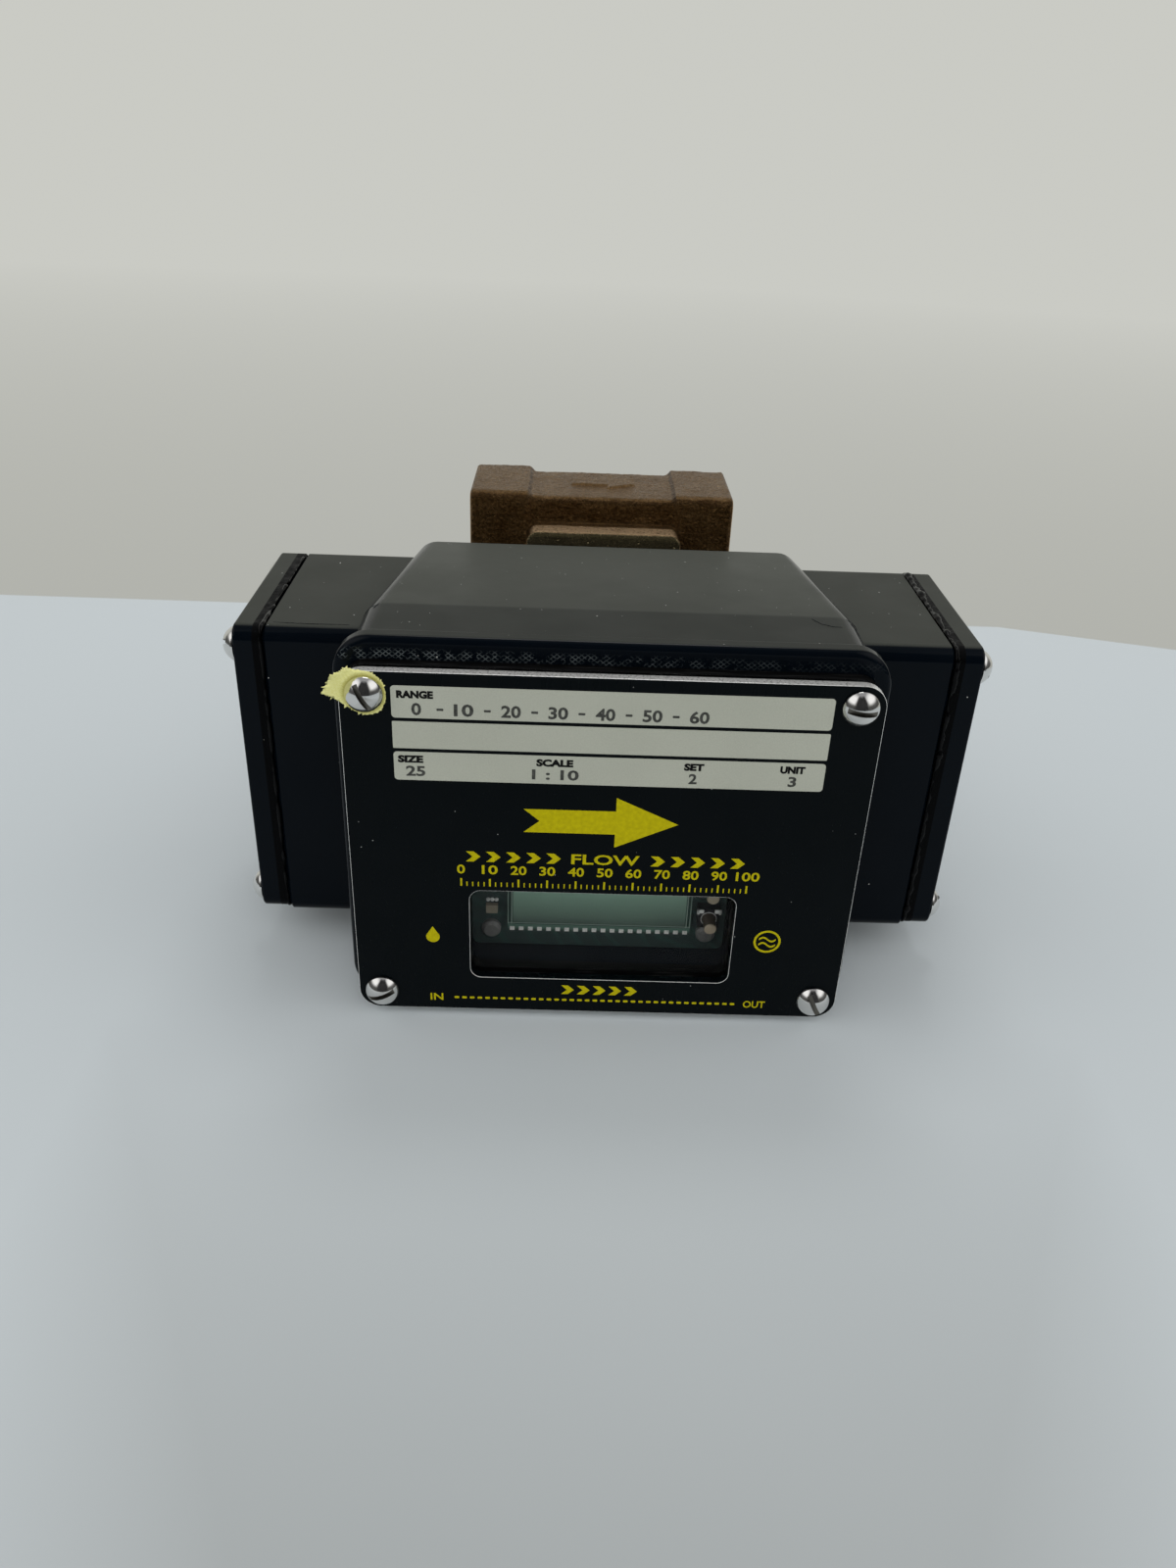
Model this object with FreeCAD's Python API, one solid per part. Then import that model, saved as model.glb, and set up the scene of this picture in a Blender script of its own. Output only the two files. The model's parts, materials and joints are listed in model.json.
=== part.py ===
import FreeCAD, Part
import math
import os

Vector = FreeCAD.Vector

# A vane flow monitor: a bronze meter body whose shaft turns a magnet in a painted
# box with two wiring wings, read by a sensor and shown on a display behind a window.
# Millimetres. X runs to the right, along the flow, Y to the back and Z up.
# While the pieces are made, Y = 0 is the front plate's face and Z = 0 the flange's foot.

# Front plate, clear sheet and gasket, stacked on the flange
PLATE_WIDTH = 127.0
PLATE_HEIGHT = 98.4
PLATE_THICK = 2.4
PLATE_CORNER = 5.7
SHEET_THICK = 2.2
SHEET_SETBACK = 0.3
FRONT_GASKET_THICK = 3.4
FRONT_GASKET_SETBACK = 0.5
WINDOW_WIDTH = 68.0
WINDOW_HEIGHT = 27.7
WINDOW_CORNER = 3.0
WINDOW_SILL = 10.8
FRONT_SCREW_INSET_X = 6.0
FRONT_SCREW_INSET_Z = 5.7
FRONT_SCREW_GRIP = 5.0

# Torn paper tag under the top left screw, as offsets from that screw
TAG_THICK = 0.3
TAG_OUTLINE = [
    (-9.3, 0.4), (-8.3, 3.6), (-6.5, 5.7), (-3.9, 6.4), (-1.6, 5.6), (0.6, 5.8), (2.6, 3.9),
    (3.9, 1.3), (3.4, -2.2), (1.6, -4.4), (-0.8, -5.7), (-4.0, -4.8), (-6.1, -2.6), (-7.6, -1.4),
]

# Domed slotted screws, one size for the plate and the end covers
SCREW_R = 2.05
THREAD_GAP = 0.05
CLEAR_HOLE_GAP = 0.25
HOLE_RUNOUT = 0.5
HEAD_R = 4.5
HEAD_HEIGHT = 3.4
HEAD_RIM = 0.5
PAN_HEIGHT = 2.2
PAN_CHAMFER = 0.7
SLOT_WIDTH = 1.3
SLOT_DEPTH = 1.5
FRONT_SLOT_ANGLES = {(-1, 1): -61.0, (1, 1): -5.0, (-1, -1): 20.0, (1, -1): -64.0}
COVER_SLOT_TURN = 37.0

# Flange, collar and tapered tube of the housing
FLANGE_BELOW = 2.5
FLANGE_ABOVE = 5.1
FLANGE_BESIDE = 3.0
FLANGE_THICK = 6.0
FLANGE_CORNER = 9.8
FLANGE_ROUND = 1.8
MOUTH_RING_SIDE = 14.5
MOUTH_RING_END = 7.0
MOUTH_CORNER = 14.0
COLLAR_STEP_SIDE = 3.6
COLLAR_STEP_END = 1.0
COLLAR_CORNER = 6.5
COLLAR_LENGTH = 18.0
SEAM_STEP = 0.1
TUBE_LENGTH = 59.3
TUBE_DRAFT_SIDE = 7.7
TUBE_DRAFT_END = 2.1
TUBE_CORNER = 6.0
TUBE_BACK_ROUND = 5.0
WALL = 4.0

# Wings, their gaskets and covers
WING_LENGTH = 25.6
WING_DEPTH = 61.2
WING_HEIGHT = 87.2
WING_LIFT = 10.5
WING_EDGE = 4.0
WING_END_CHAMFER = 1.2
WING_WALL = 3.5
SIDE_PORT_DEPTH = 30.0
SIDE_PORT_HEIGHT = 50.0
SIDE_PORT_CORNER = 6.0
END_GASKET_THICK = 2.1
END_GASKET_BAND = 9.0
COVER_THICK = 5.1
COVER_SHORT = 1.0
COVER_EDGE_ROUND = 0.8
COVER_SCREW_INSET_Y = 4.6
COVER_SCREW_INSET_Z = 6.0
COVER_SCREW_GRIP = 9.0
COVER_BOSS_R = 5.2
COVER_BOSS_LENGTH = 13.0
CONDUIT_R = 11.1

# Display board behind the window
LCD_DEPTH = 20.0
LCD_WIDTH = 50.8
LCD_HEIGHT = 30.5
LCD_GLASS = 1.1
LCD_LEDGE = 2.4
LCD_LIFT = 11.65
LCD_SEAT = 0.6
LCD_PIN_COUNT = 20
LCD_PIN_PITCH = 2.54
LCD_PIN_WIDTH = 1.2
LCD_PIN_THICK = 0.3
LCD_PIN_TAB = 1.6
BOARD_THICK = 1.6
BOARD_SLIP = 0.6
DISPLAY_BOARD_WIDTH = 70.6
DISPLAY_BOARD_CORNER = 2.0
SWITCH_X = 30.2
SWITCH_LIFT = 18.0
SWITCH_PITCH = 10.0
SWITCH_SIZE = 6.0
SWITCH_HEIGHT = 3.5
SWITCH_LID = 0.6
SWITCH_ROOM = 1.9
STEM_R = 1.75
STEM_FOOT_R = 2.3
STEM_FOOT_THICK = 0.8
STEM_REACH = 4.7
STEM_GAP = 0.3
STEM_LID_GAP = 0.1
CHIP_X = -29.8
CHIP_LIFT = 17.7
CHIP_SIZE = (3.2, 1.4, 2.6)

# Main board, its standoffs and the sensor
MAIN_BOARD_GAP = 24.0
MAIN_BOARD_MARGIN_X = 7.0
MAIN_BOARD_MARGIN_Z = 3.0
MAIN_BOARD_CORNER = 3.0
STANDOFF_SPACING_X = 60.0
STANDOFF_MARGIN_Z = 6.2
STANDOFF_FLATS = 5.5
STUD_R = 1.45
STUD_LENGTH = 4.0
POST_R = 4.0
POST_LENGTH = 5.0
BOARD_HEAD_R = 2.7
BOARD_HEAD_HEIGHT = 2.0
BOARD_HEAD_CHAMFER = 0.8
SENSOR_SIZE = 6.0
SENSOR_HEIGHT = 1.2

# Terminal block in the left wing
BLOCK_LENGTH = 46.0
BLOCK_DEPTH = 15.0
BLOCK_HEIGHT = 12.0
BLOCK_STEP = 4.0
BLOCK_INSET = 7.0
BLOCK_WAYS = 5
BLOCK_SCREW_R = 2.4
BLOCK_SCREW_HEIGHT = 2.0
BLOCK_WIRE_R = 2.0
BLOCK_WIRE_DEPTH = 9.0
BLOCK_WALL = 1.0

# Bronze meter body
METER_SHIFT = -2.0
BODY_GASKET_THICK = 0.8
BODY_LENGTH = 78.6
BODY_SQUARE = 33.5
BODY_CORNER = 3.0
BODY_END_CHAMFER = 0.8
BODY_END_LENGTH = 18.4
RECESS = 1.4
BOSS_WIDTH = 45.8
BOSS_HEIGHT = 38.0
BOSS_CORNER = 3.5
BOSS_DEPTH = 7.9
BOSS_DROP = 9.0
BOSS_SHIFT = 0.8
PIPE_LIFT = 12.75
PORT_R = 11.9
PORT_DEPTH = 16.0
THROAT_R = 9.5
CHAMBER_WIDTH = 18.0
CHAMBER_UPSTREAM = 5.5
CHAMBER_DOWNSTREAM = 20.5
CHAMBER_CORNER = 3.0
BELLY_WALL = 4.5
BELLY_CORNER = 7.0
BODY_SCREW_SPACING_X = 34.0
BODY_SCREW_SPACING_Z = 19.0
BODY_SCREW_DROP = 2.5
BODY_SCREW_GRIP = 6.0

# Shaft, vane and what turns with them
SHAFT_R = 2.5
SHAFT_DROP = 21.0
SHAFT_FLAT = 0.6
RUNNING_GAP = 0.05
PRESS_GAP = 0.01
BUSH_R = 5.5
SEAL_LENGTH = 3.0
REAR_BUSH_R = 4.5
REAR_BUSH_LENGTH = 4.0
SHAFT_END_PLAY = 0.3
WALL_HOLE_GAP = 0.8
HUB_R = 4.5
HUB_GAP = 1.0
BLADE_SIDE_GAP = 0.8
BLADE_TIP_GAP = 1.0
BLADE_THICK = 1.6
BLADE_CORNER = 4.0
CARRIER_HUB_R = 4.2
CARRIER_HUB_LENGTH = 6.9
CARRIER_DISC_R = 9.0
CARRIER_DISC_THICK = 3.0
CARRIER_CUP_R = 5.5
CARRIER_CUP_LENGTH = 5.0
CARRIER_FLOOR = 1.5
MAGNET_R = 4.0
MAGNET_THICK = 2.5
SPRING_TURNS = 3
SPRING_STRIP = 0.4
SPRING_PITCH = 1.1
SPRING_WIDTH = 3.0
SPRING_END_GAP = 1.2
ANCHOR_R = 1.2
ANCHOR_SEAT = 2.5

# Places that follow from the sizes above
FLANGE_WIDTH = PLATE_WIDTH + 2 * FLANGE_BESIDE
FLANGE_HEIGHT = FLANGE_BELOW + PLATE_HEIGHT + FLANGE_ABOVE
HOUSING_MID = FLANGE_HEIGHT / 2
PLATE_MID = FLANGE_BELOW + PLATE_HEIGHT / 2
WINDOW_MID = FLANGE_BELOW + WINDOW_SILL + WINDOW_HEIGHT / 2
SHEET_FRONT = PLATE_THICK
FRONT_GASKET_FRONT = SHEET_FRONT + SHEET_THICK
FLANGE_FRONT = FRONT_GASKET_FRONT + FRONT_GASKET_THICK
COLLAR_FRONT = FLANGE_FRONT + FLANGE_THICK
TUBE_FRONT = COLLAR_FRONT + COLLAR_LENGTH
TUBE_BACK = TUBE_FRONT + TUBE_LENGTH
BACK_WALL = TUBE_BACK - WALL
MOUTH_WIDTH = FLANGE_WIDTH - 2 * MOUTH_RING_SIDE
MOUTH_HEIGHT = FLANGE_HEIGHT - 2 * MOUTH_RING_END
COLLAR_WIDTH = FLANGE_WIDTH - 2 * COLLAR_STEP_SIDE
COLLAR_HEIGHT = FLANGE_HEIGHT - 2 * COLLAR_STEP_END
TUBE_WIDTH = COLLAR_WIDTH - 2 * SEAM_STEP
TUBE_HEIGHT = COLLAR_HEIGHT - 2 * SEAM_STEP
TUBE_BACK_WIDTH = TUBE_WIDTH - 2 * TUBE_DRAFT_SIDE
TUBE_BACK_HEIGHT = TUBE_HEIGHT - 2 * TUBE_DRAFT_END
FRONT_SCREW_X = PLATE_WIDTH / 2 - FRONT_SCREW_INSET_X
FRONT_SCREW_Z = PLATE_HEIGHT / 2 - FRONT_SCREW_INSET_Z

WING_END = COLLAR_WIDTH / 2 + WING_LENGTH
WING_Y = TUBE_BACK - WING_DEPTH / 2
WING_MID = WING_LIFT + WING_HEIGHT / 2
COVER_HEIGHT = WING_HEIGHT - COVER_SHORT
COVER_MID = WING_MID + COVER_SHORT / 2
COVER_START = WING_END + END_GASKET_THICK
COVER_FACE = COVER_START + COVER_THICK
COVER_SCREW_Y = WING_DEPTH / 2 - COVER_SCREW_INSET_Y
COVER_SCREW_Z = COVER_HEIGHT / 2 - COVER_SCREW_INSET_Z

LCD_MID = FLANGE_BELOW + LCD_LIFT + LCD_HEIGHT / 2
DISPLAY_FRONT = LCD_DEPTH + 2 * LCD_GLASS + LCD_SEAT
DISPLAY_BACK = DISPLAY_FRONT + BOARD_THICK
MAIN_BACK = TUBE_BACK - MAIN_BOARD_GAP
MAIN_FRONT = MAIN_BACK - BOARD_THICK
STANDOFF_X = STANDOFF_SPACING_X / 2
STANDOFF_Z = TUBE_BACK_HEIGHT / 2 - WALL - STANDOFF_MARGIN_Z
SWITCH_FRONT = DISPLAY_FRONT - SWITCH_HEIGHT
SWITCH_PLACES = {
    "lower_button": (SWITCH_X, FLANGE_BELOW + SWITCH_LIFT),
    "upper_button": (SWITCH_X, FLANGE_BELOW + SWITCH_LIFT + SWITCH_PITCH),
}

BOSS_FRONT = TUBE_BACK + BODY_GASKET_THICK
BODY_FRONT = BOSS_FRONT + BOSS_DEPTH
BODY_BACK = BODY_FRONT + BODY_SQUARE
PIPE_Y = BODY_FRONT + BODY_SQUARE / 2
SHAFT_Z = FLANGE_HEIGHT - SHAFT_DROP
PIPE_Z = SHAFT_Z + PIPE_LIFT
BOSS_MID = PIPE_Z + BODY_SQUARE / 2 - BOSS_DROP - BOSS_HEIGHT / 2
BODY_SCREW_MID = SHAFT_Z - BODY_SCREW_DROP
CHAMBER_FRONT = PIPE_Y - CHAMBER_WIDTH / 2
CHAMBER_BACK = PIPE_Y + CHAMBER_WIDTH / 2
CHAMBER_TOP = PIPE_Z + THROAT_R
CHAMBER_BOTTOM = SHAFT_Z - HUB_R - HUB_GAP
REAR_POCKET_END = CHAMBER_BACK + REAR_BUSH_LENGTH
SHAFT_BACK = REAR_POCKET_END - SHAFT_END_PLAY
BUSH_FRONT = BOSS_FRONT + SEAL_LENGTH
BLADE_WIDTH = CHAMBER_WIDTH - 2 * BLADE_SIDE_GAP
CARRIER_BACK = BACK_WALL - SHAFT_END_PLAY
DISC_BACK = CARRIER_BACK - CARRIER_HUB_LENGTH
DISC_FRONT = DISC_BACK - CARRIER_DISC_THICK
CUP_FRONT = DISC_FRONT - CARRIER_CUP_LENGTH
SHAFT_FRONT = CUP_FRONT + MAGNET_THICK + CARRIER_FLOOR

# The origin goes under the middle of the whole object's box
FRONT_REACH = -(TAG_THICK + HEAD_HEIGHT)
MIDDLE_Y = (FRONT_REACH + BODY_BACK) / 2

SIDES = (-1, 1)
CORNERS = [(side, level) for side in SIDES for level in SIDES]
TOUCH = 1e-4


def rounded_outline(width, height, radius, point):
    """A rounded rectangle; point(a, b) places its own two axes in space."""
    a = width / 2
    b = height / 2
    knee = radius * (1 - math.sqrt(0.5))
    turns = [
        (point(a, b - radius), point(a - knee, b - knee), point(a - radius, b)),
        (point(-a + radius, b), point(-a + knee, b - knee), point(-a, b - radius)),
        (point(-a, -b + radius), point(-a + knee, -b + knee), point(-a + radius, -b)),
        (point(a - radius, -b), point(a - knee, -b + knee), point(a, -b + radius)),
    ]
    edges = []
    for index, turn in enumerate(turns):
        following = turns[(index + 1) % len(turns)]
        edges.append(Part.Arc(*turn).toShape())
        edges.append(Part.makeLine(turn[2], following[0]))
    return Part.Wire(edges)


def outline_y(width, height, radius, y, x=0.0, z=0.0):
    """A rounded rectangle that faces front, centred at x and z."""
    return rounded_outline(width, height, radius, lambda a, b: Vector(x + a, y, z + b))


def outline_x(depth, height, radius, x, y, z):
    """A rounded rectangle that faces sideways, centred at y and z."""
    return rounded_outline(depth, height, radius, lambda a, b: Vector(x, y + a, z + b))


def slab_y(width, height, radius, y, thick, x=0.0, z=0.0):
    """A plate with rounded corners, its front at y."""
    face = Part.Face(outline_y(width, height, radius, y, x, z))
    return face.extrude(Vector(0, thick, 0))


def slab_x(depth, height, radius, x, length, y, z):
    """A bar with rounded long edges that runs from x along X."""
    face = Part.Face(outline_x(depth, height, radius, x, y, z))
    return face.extrude(Vector(length, 0, 0))


def rod_y(radius, y, length, x=0.0, z=0.0):
    return Part.makeCylinder(radius, length, Vector(x, y, z), Vector(0, 1, 0))


def rod_x(radius, x, length, y, z):
    return Part.makeCylinder(radius, length, Vector(x, y, z), Vector(1, 0, 0))


def block(low, high):
    """A box between two opposite corners."""
    size = Vector(*high) - Vector(*low)
    return Part.makeBox(size.x, size.y, size.z, Vector(*low))


def edges_at(shape, axis, value):
    """The edges that lie in the plane where one coordinate has a value."""
    picked = []
    for edge in shape.Edges:
        box = edge.BoundBox
        low = (box.XMin, box.YMin, box.ZMin)[axis]
        high = (box.XMax, box.YMax, box.ZMax)[axis]
        if abs(low - value) < TOUCH and abs(high - value) < TOUCH:
            picked.append(edge)
    return picked


def drill(shape, rods):
    """Cuts each rod out of a shape."""
    for rod in rods:
        shape = shape.cut(rod)
    return shape


def screw_profile(head, length):
    """Revolves a head's outline, drawn from its crown to its seat, with a plain shank behind it."""
    crown = head[0].Vertexes[0].Point
    seat = head[-1].Vertexes[-1].Point
    corners = [seat, Vector(SCREW_R, 0, 0), Vector(SCREW_R, length, 0), Vector(0, length, 0), crown]
    edges = list(head)
    for start, end in zip(corners, corners[1:]):
        edges.append(Part.makeLine(start, end))
    return Part.Face(Part.Wire(edges)).revolve(Vector(0, 0, 0), Vector(0, 1, 0), 360)


def slotted_screw(length, slot_angle):
    """A domed screw along Y with its seat at Y = 0 and its slot turned from X."""
    rise = HEAD_HEIGHT - HEAD_RIM
    dome_r = (HEAD_R ** 2 + rise ** 2) / (2 * rise)
    dome_y = dome_r - HEAD_HEIGHT
    half_turn = math.asin(HEAD_R / dome_r) / 2
    crown = Vector(0, -HEAD_HEIGHT, 0)
    shoulder = Vector(dome_r * math.sin(half_turn), dome_y - dome_r * math.cos(half_turn), 0)
    rim = Vector(HEAD_R, -HEAD_RIM, 0)
    head = [Part.Arc(crown, shoulder, rim).toShape(), Part.makeLine(rim, Vector(HEAD_R, 0, 0))]
    screw = screw_profile(head, length)
    slot_low = (-HEAD_R, -HEAD_HEIGHT, -SLOT_WIDTH / 2)
    slot_high = (HEAD_R, -HEAD_HEIGHT + SLOT_DEPTH, SLOT_WIDTH / 2)
    screw = screw.cut(block(slot_low, slot_high))
    screw.rotate(Vector(0, 0, 0), Vector(0, 1, 0), -slot_angle)
    return screw


def pan_screw(length):
    """A pan-headed screw along Y with its seat at Y = 0."""
    crown = Vector(0, -PAN_HEIGHT, 0)
    shoulder = Vector(HEAD_R - PAN_CHAMFER, -PAN_HEIGHT, 0)
    rim = Vector(HEAD_R, -PAN_HEIGHT + PAN_CHAMFER, 0)
    corners = [crown, shoulder, rim, Vector(HEAD_R, 0, 0)]
    head = [Part.makeLine(start, end) for start, end in zip(corners, corners[1:])]
    return screw_profile(head, length)


def front_screw_rods(radius, y, length):
    """Rods at the four plate screws, to drill their holes."""
    rods = []
    for side, level in CORNERS:
        rods.append(rod_y(radius, y, length, side * FRONT_SCREW_X, PLATE_MID + level * FRONT_SCREW_Z))
    return rods


def cover_screw_rods(side, radius, x, length):
    """Rods at the four screws of one end cover; x and length run outwards."""
    start = min(side * x, side * (x + length))
    rods = []
    for back, level in CORNERS:
        place_z = COVER_MID + level * COVER_SCREW_Z
        rods.append(rod_x(radius, start, length, WING_Y + back * COVER_SCREW_Y, place_z))
    return rods


def body_screw_rods(radius, y, length):
    """Rods at the four screws that hold the meter body."""
    rods = []
    for side, level in CORNERS:
        x = METER_SHIFT + side * BODY_SCREW_SPACING_X / 2
        z = BODY_SCREW_MID + level * BODY_SCREW_SPACING_Z / 2
        rods.append(rod_y(radius, y, length, x, z))
    return rods


def standoff_rods(radius, y, length):
    """Rods on the four standoffs' axes."""
    rods = []
    for side, level in CORNERS:
        rods.append(rod_y(radius, y, length, side * STANDOFF_X, HOUSING_MID + level * STANDOFF_Z))
    return rods


def frustum(front_size, back_size, front, back):
    """A four-sided taper along Y between two rectangles, centred on the housing's middle."""
    ends = []
    for (width, height), y in ((front_size, front), (back_size, back)):
        a = width / 2
        b = height / 2
        turns = [(-a, -b), (a, -b), (a, b), (-a, b)]
        ends.append([Vector(x, y, HOUSING_MID + z) for x, z in turns])
    rings = [ends[0], ends[1]]
    for index in range(len(ends[0])):
        following = (index + 1) % len(ends[0])
        rings.append([ends[0][index], ends[0][following], ends[1][following], ends[1][index]])
    faces = [Part.Face(Part.makePolygon(ring + ring[:1])) for ring in rings]
    return Part.makeSolid(Part.makeShell(faces))


def long_edges(shape, front, back):
    """The edges of a frustum that run from its front to its back."""
    picked = []
    for edge in shape.Edges:
        if edge.BoundBox.YMin < front + TOUCH and edge.BoundBox.YMax > back - TOUCH:
            picked.append(edge)
    return picked


def tube_outside():
    """The tapered tube with its long edges and its back edge rounded."""
    tube = frustum((TUBE_WIDTH, TUBE_HEIGHT), (TUBE_BACK_WIDTH, TUBE_BACK_HEIGHT), TUBE_FRONT, TUBE_BACK)
    tube = tube.makeFillet(TUBE_CORNER, long_edges(tube, TUBE_FRONT, TUBE_BACK))
    return tube.makeFillet(TUBE_BACK_ROUND, edges_at(tube, 1, TUBE_BACK))


def tube_size(y):
    """The tube's outer width and height at a depth, before its edges are rounded."""
    share = (y - TUBE_FRONT) / TUBE_LENGTH
    return TUBE_WIDTH - 2 * TUBE_DRAFT_SIDE * share, TUBE_HEIGHT - 2 * TUBE_DRAFT_END * share


def housing_room():
    """The space inside the collar and the tube."""
    front_size = (TUBE_WIDTH - 2 * WALL, TUBE_HEIGHT - 2 * WALL)
    width, height = tube_size(BACK_WALL)
    collar_room = frustum(front_size, front_size, COLLAR_FRONT, TUBE_FRONT)
    tube_room = frustum(front_size, (width - 2 * WALL, height - 2 * WALL), TUBE_FRONT, BACK_WALL)
    return collar_room.fuse(tube_room)


def housing():
    """Flange, collar, tapered tube and two wings, in one painted casting."""
    flange = slab_y(FLANGE_WIDTH, FLANGE_HEIGHT, FLANGE_CORNER, FLANGE_FRONT, FLANGE_THICK, z=HOUSING_MID)
    rims = edges_at(flange, 1, FLANGE_FRONT) + edges_at(flange, 1, COLLAR_FRONT)
    flange = flange.makeFillet(FLANGE_ROUND, rims)
    collar = slab_y(COLLAR_WIDTH, COLLAR_HEIGHT, COLLAR_CORNER, COLLAR_FRONT, COLLAR_LENGTH, z=HOUSING_MID)
    outer = collar.fuse(tube_outside())
    shape = outer.fuse(flange)
    for side in SIDES:
        wing_start = side * (TUBE_BACK_WIDTH / 2 - WALL)
        wing = slab_x(
            WING_DEPTH, WING_HEIGHT, WING_EDGE, wing_start, side * WING_END - wing_start, WING_Y, WING_MID
        )
        wing = wing.makeChamfer(WING_END_CHAMFER, edges_at(wing, 0, side * WING_END))
        shape = shape.fuse(wing)
    for side in SIDES:
        shape = shape.cut(wing_room(side, outer))
        shape = drill(shape, cover_screw_rods(
            side, SCREW_R + THREAD_GAP, WING_END - COVER_SCREW_GRIP - HOLE_RUNOUT, COVER_SCREW_GRIP + HOLE_RUNOUT
        ))
    mouth = slab_y(MOUTH_WIDTH, MOUTH_HEIGHT, MOUTH_CORNER, FLANGE_FRONT, FLANGE_THICK, z=HOUSING_MID)
    shape = shape.cut(mouth.fuse(housing_room()))
    for side in SIDES:
        shape = shape.cut(side_port(side))
    posts = standoff_rods(POST_R, BACK_WALL - POST_LENGTH, POST_LENGTH + WALL / 2)
    for post in posts:
        shape = shape.fuse(post)
    shape = drill(shape, standoff_rods(STUD_R + THREAD_GAP, BACK_WALL - POST_LENGTH, POST_LENGTH))
    shape = drill(shape, front_screw_rods(SCREW_R + THREAD_GAP, FLANGE_FRONT, FRONT_SCREW_GRIP + HOLE_RUNOUT))
    shape = drill(shape, body_screw_rods(SCREW_R + CLEAR_HOLE_GAP, BACK_WALL, WALL))
    shape = shape.cut(rod_y(SHAFT_R + WALL_HOLE_GAP, BACK_WALL, WALL, METER_SHIFT, SHAFT_Z))
    anchor_x, anchor_z = anchor_place()
    shape = shape.cut(rod_y(ANCHOR_R + PRESS_GAP, BACK_WALL, ANCHOR_SEAT, anchor_x, anchor_z))
    return shape.removeSplitter()


def wing_room(side, outer):
    """The wiring space of one wing, with bosses left in its corners for the cover screws."""
    start = side * TUBE_BACK_WIDTH / 2 - side * WALL
    length = side * WING_END - start
    room = slab_x(
        WING_DEPTH - 2 * WING_WALL, WING_HEIGHT - 2 * WING_WALL, WING_EDGE, start, length, WING_Y, WING_MID
    )
    room = room.cut(outer)
    boss_start = WING_END - COVER_BOSS_LENGTH
    return drill(room, cover_screw_rods(side, COVER_BOSS_R, boss_start, COVER_BOSS_LENGTH))


def side_port(side):
    """The wire passage through the tube's side wall into a wing."""
    inner = TUBE_BACK_WIDTH / 2 - 2 * WALL
    outer = COLLAR_WIDTH / 2
    return slab_x(
        SIDE_PORT_DEPTH, SIDE_PORT_HEIGHT, SIDE_PORT_CORNER, side * inner, side * (outer - inner), WING_Y, WING_MID
    )


def front_plate():
    """The painted name plate, with its window."""
    plate = slab_y(PLATE_WIDTH, PLATE_HEIGHT, PLATE_CORNER, 0.0, PLATE_THICK, z=PLATE_MID)
    window = slab_y(WINDOW_WIDTH, WINDOW_HEIGHT, WINDOW_CORNER, 0.0, PLATE_THICK, z=WINDOW_MID)
    return drill(plate, [window] + front_screw_rods(SCREW_R + CLEAR_HOLE_GAP, 0.0, PLATE_THICK))


def window_sheet():
    """The clear sheet behind the whole plate."""
    width = PLATE_WIDTH - 2 * SHEET_SETBACK
    height = PLATE_HEIGHT - 2 * SHEET_SETBACK
    sheet = slab_y(width, height, PLATE_CORNER - SHEET_SETBACK, SHEET_FRONT, SHEET_THICK, z=PLATE_MID)
    return drill(sheet, front_screw_rods(SCREW_R + CLEAR_HOLE_GAP, SHEET_FRONT, SHEET_THICK))


def front_gasket():
    """The black gasket sheet, cut out at the window."""
    setback = FRONT_GASKET_SETBACK
    width = PLATE_WIDTH - 2 * setback
    height = PLATE_HEIGHT - 2 * setback
    front = FRONT_GASKET_FRONT
    sheet = slab_y(width, height, PLATE_CORNER - setback, front, FRONT_GASKET_THICK, z=PLATE_MID)
    window = slab_y(WINDOW_WIDTH, WINDOW_HEIGHT, WINDOW_CORNER, front, FRONT_GASKET_THICK, z=WINDOW_MID)
    return drill(sheet, [window] + front_screw_rods(SCREW_R + CLEAR_HOLE_GAP, front, FRONT_GASKET_THICK))


def front_screws():
    """The four plate screws; the top left one sits on the paper tag."""
    screws = []
    for place, angle in FRONT_SLOT_ANGLES.items():
        side, level = place
        seat = -TAG_THICK if place == (-1, 1) else 0.0
        screw = slotted_screw(FLANGE_FRONT + FRONT_SCREW_GRIP - seat, angle)
        screw.translate(Vector(side * FRONT_SCREW_X, seat, PLATE_MID + level * FRONT_SCREW_Z))
        screws.append(screw)
    return Part.makeCompound(screws)


def tag_scrap():
    """The torn corner of a paper tag, pinched under the top left screw."""
    screw_z = PLATE_MID + FRONT_SCREW_Z
    corners = [Vector(-FRONT_SCREW_X + a, -TAG_THICK, screw_z + b) for a, b in TAG_OUTLINE]
    outline = Part.makePolygon(corners + corners[:1])
    scrap = Part.Face(outline).extrude(Vector(0, TAG_THICK, 0))
    return scrap.cut(rod_y(SCREW_R + CLEAR_HOLE_GAP, -TAG_THICK, TAG_THICK, -FRONT_SCREW_X, screw_z))


def end_gasket(side):
    """The flat ring between a wing and its cover."""
    start = side * WING_END
    length = side * END_GASKET_THICK
    sheet = slab_x(WING_DEPTH, COVER_HEIGHT, WING_EDGE, start, length, WING_Y, COVER_MID)
    inner_depth = WING_DEPTH - 2 * END_GASKET_BAND
    inner_height = COVER_HEIGHT - 2 * END_GASKET_BAND
    opening = slab_x(inner_depth, inner_height, WING_EDGE, start, length, WING_Y, COVER_MID)
    holes = cover_screw_rods(side, SCREW_R + CLEAR_HOLE_GAP, WING_END, END_GASKET_THICK)
    return drill(sheet, [opening] + holes)


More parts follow.
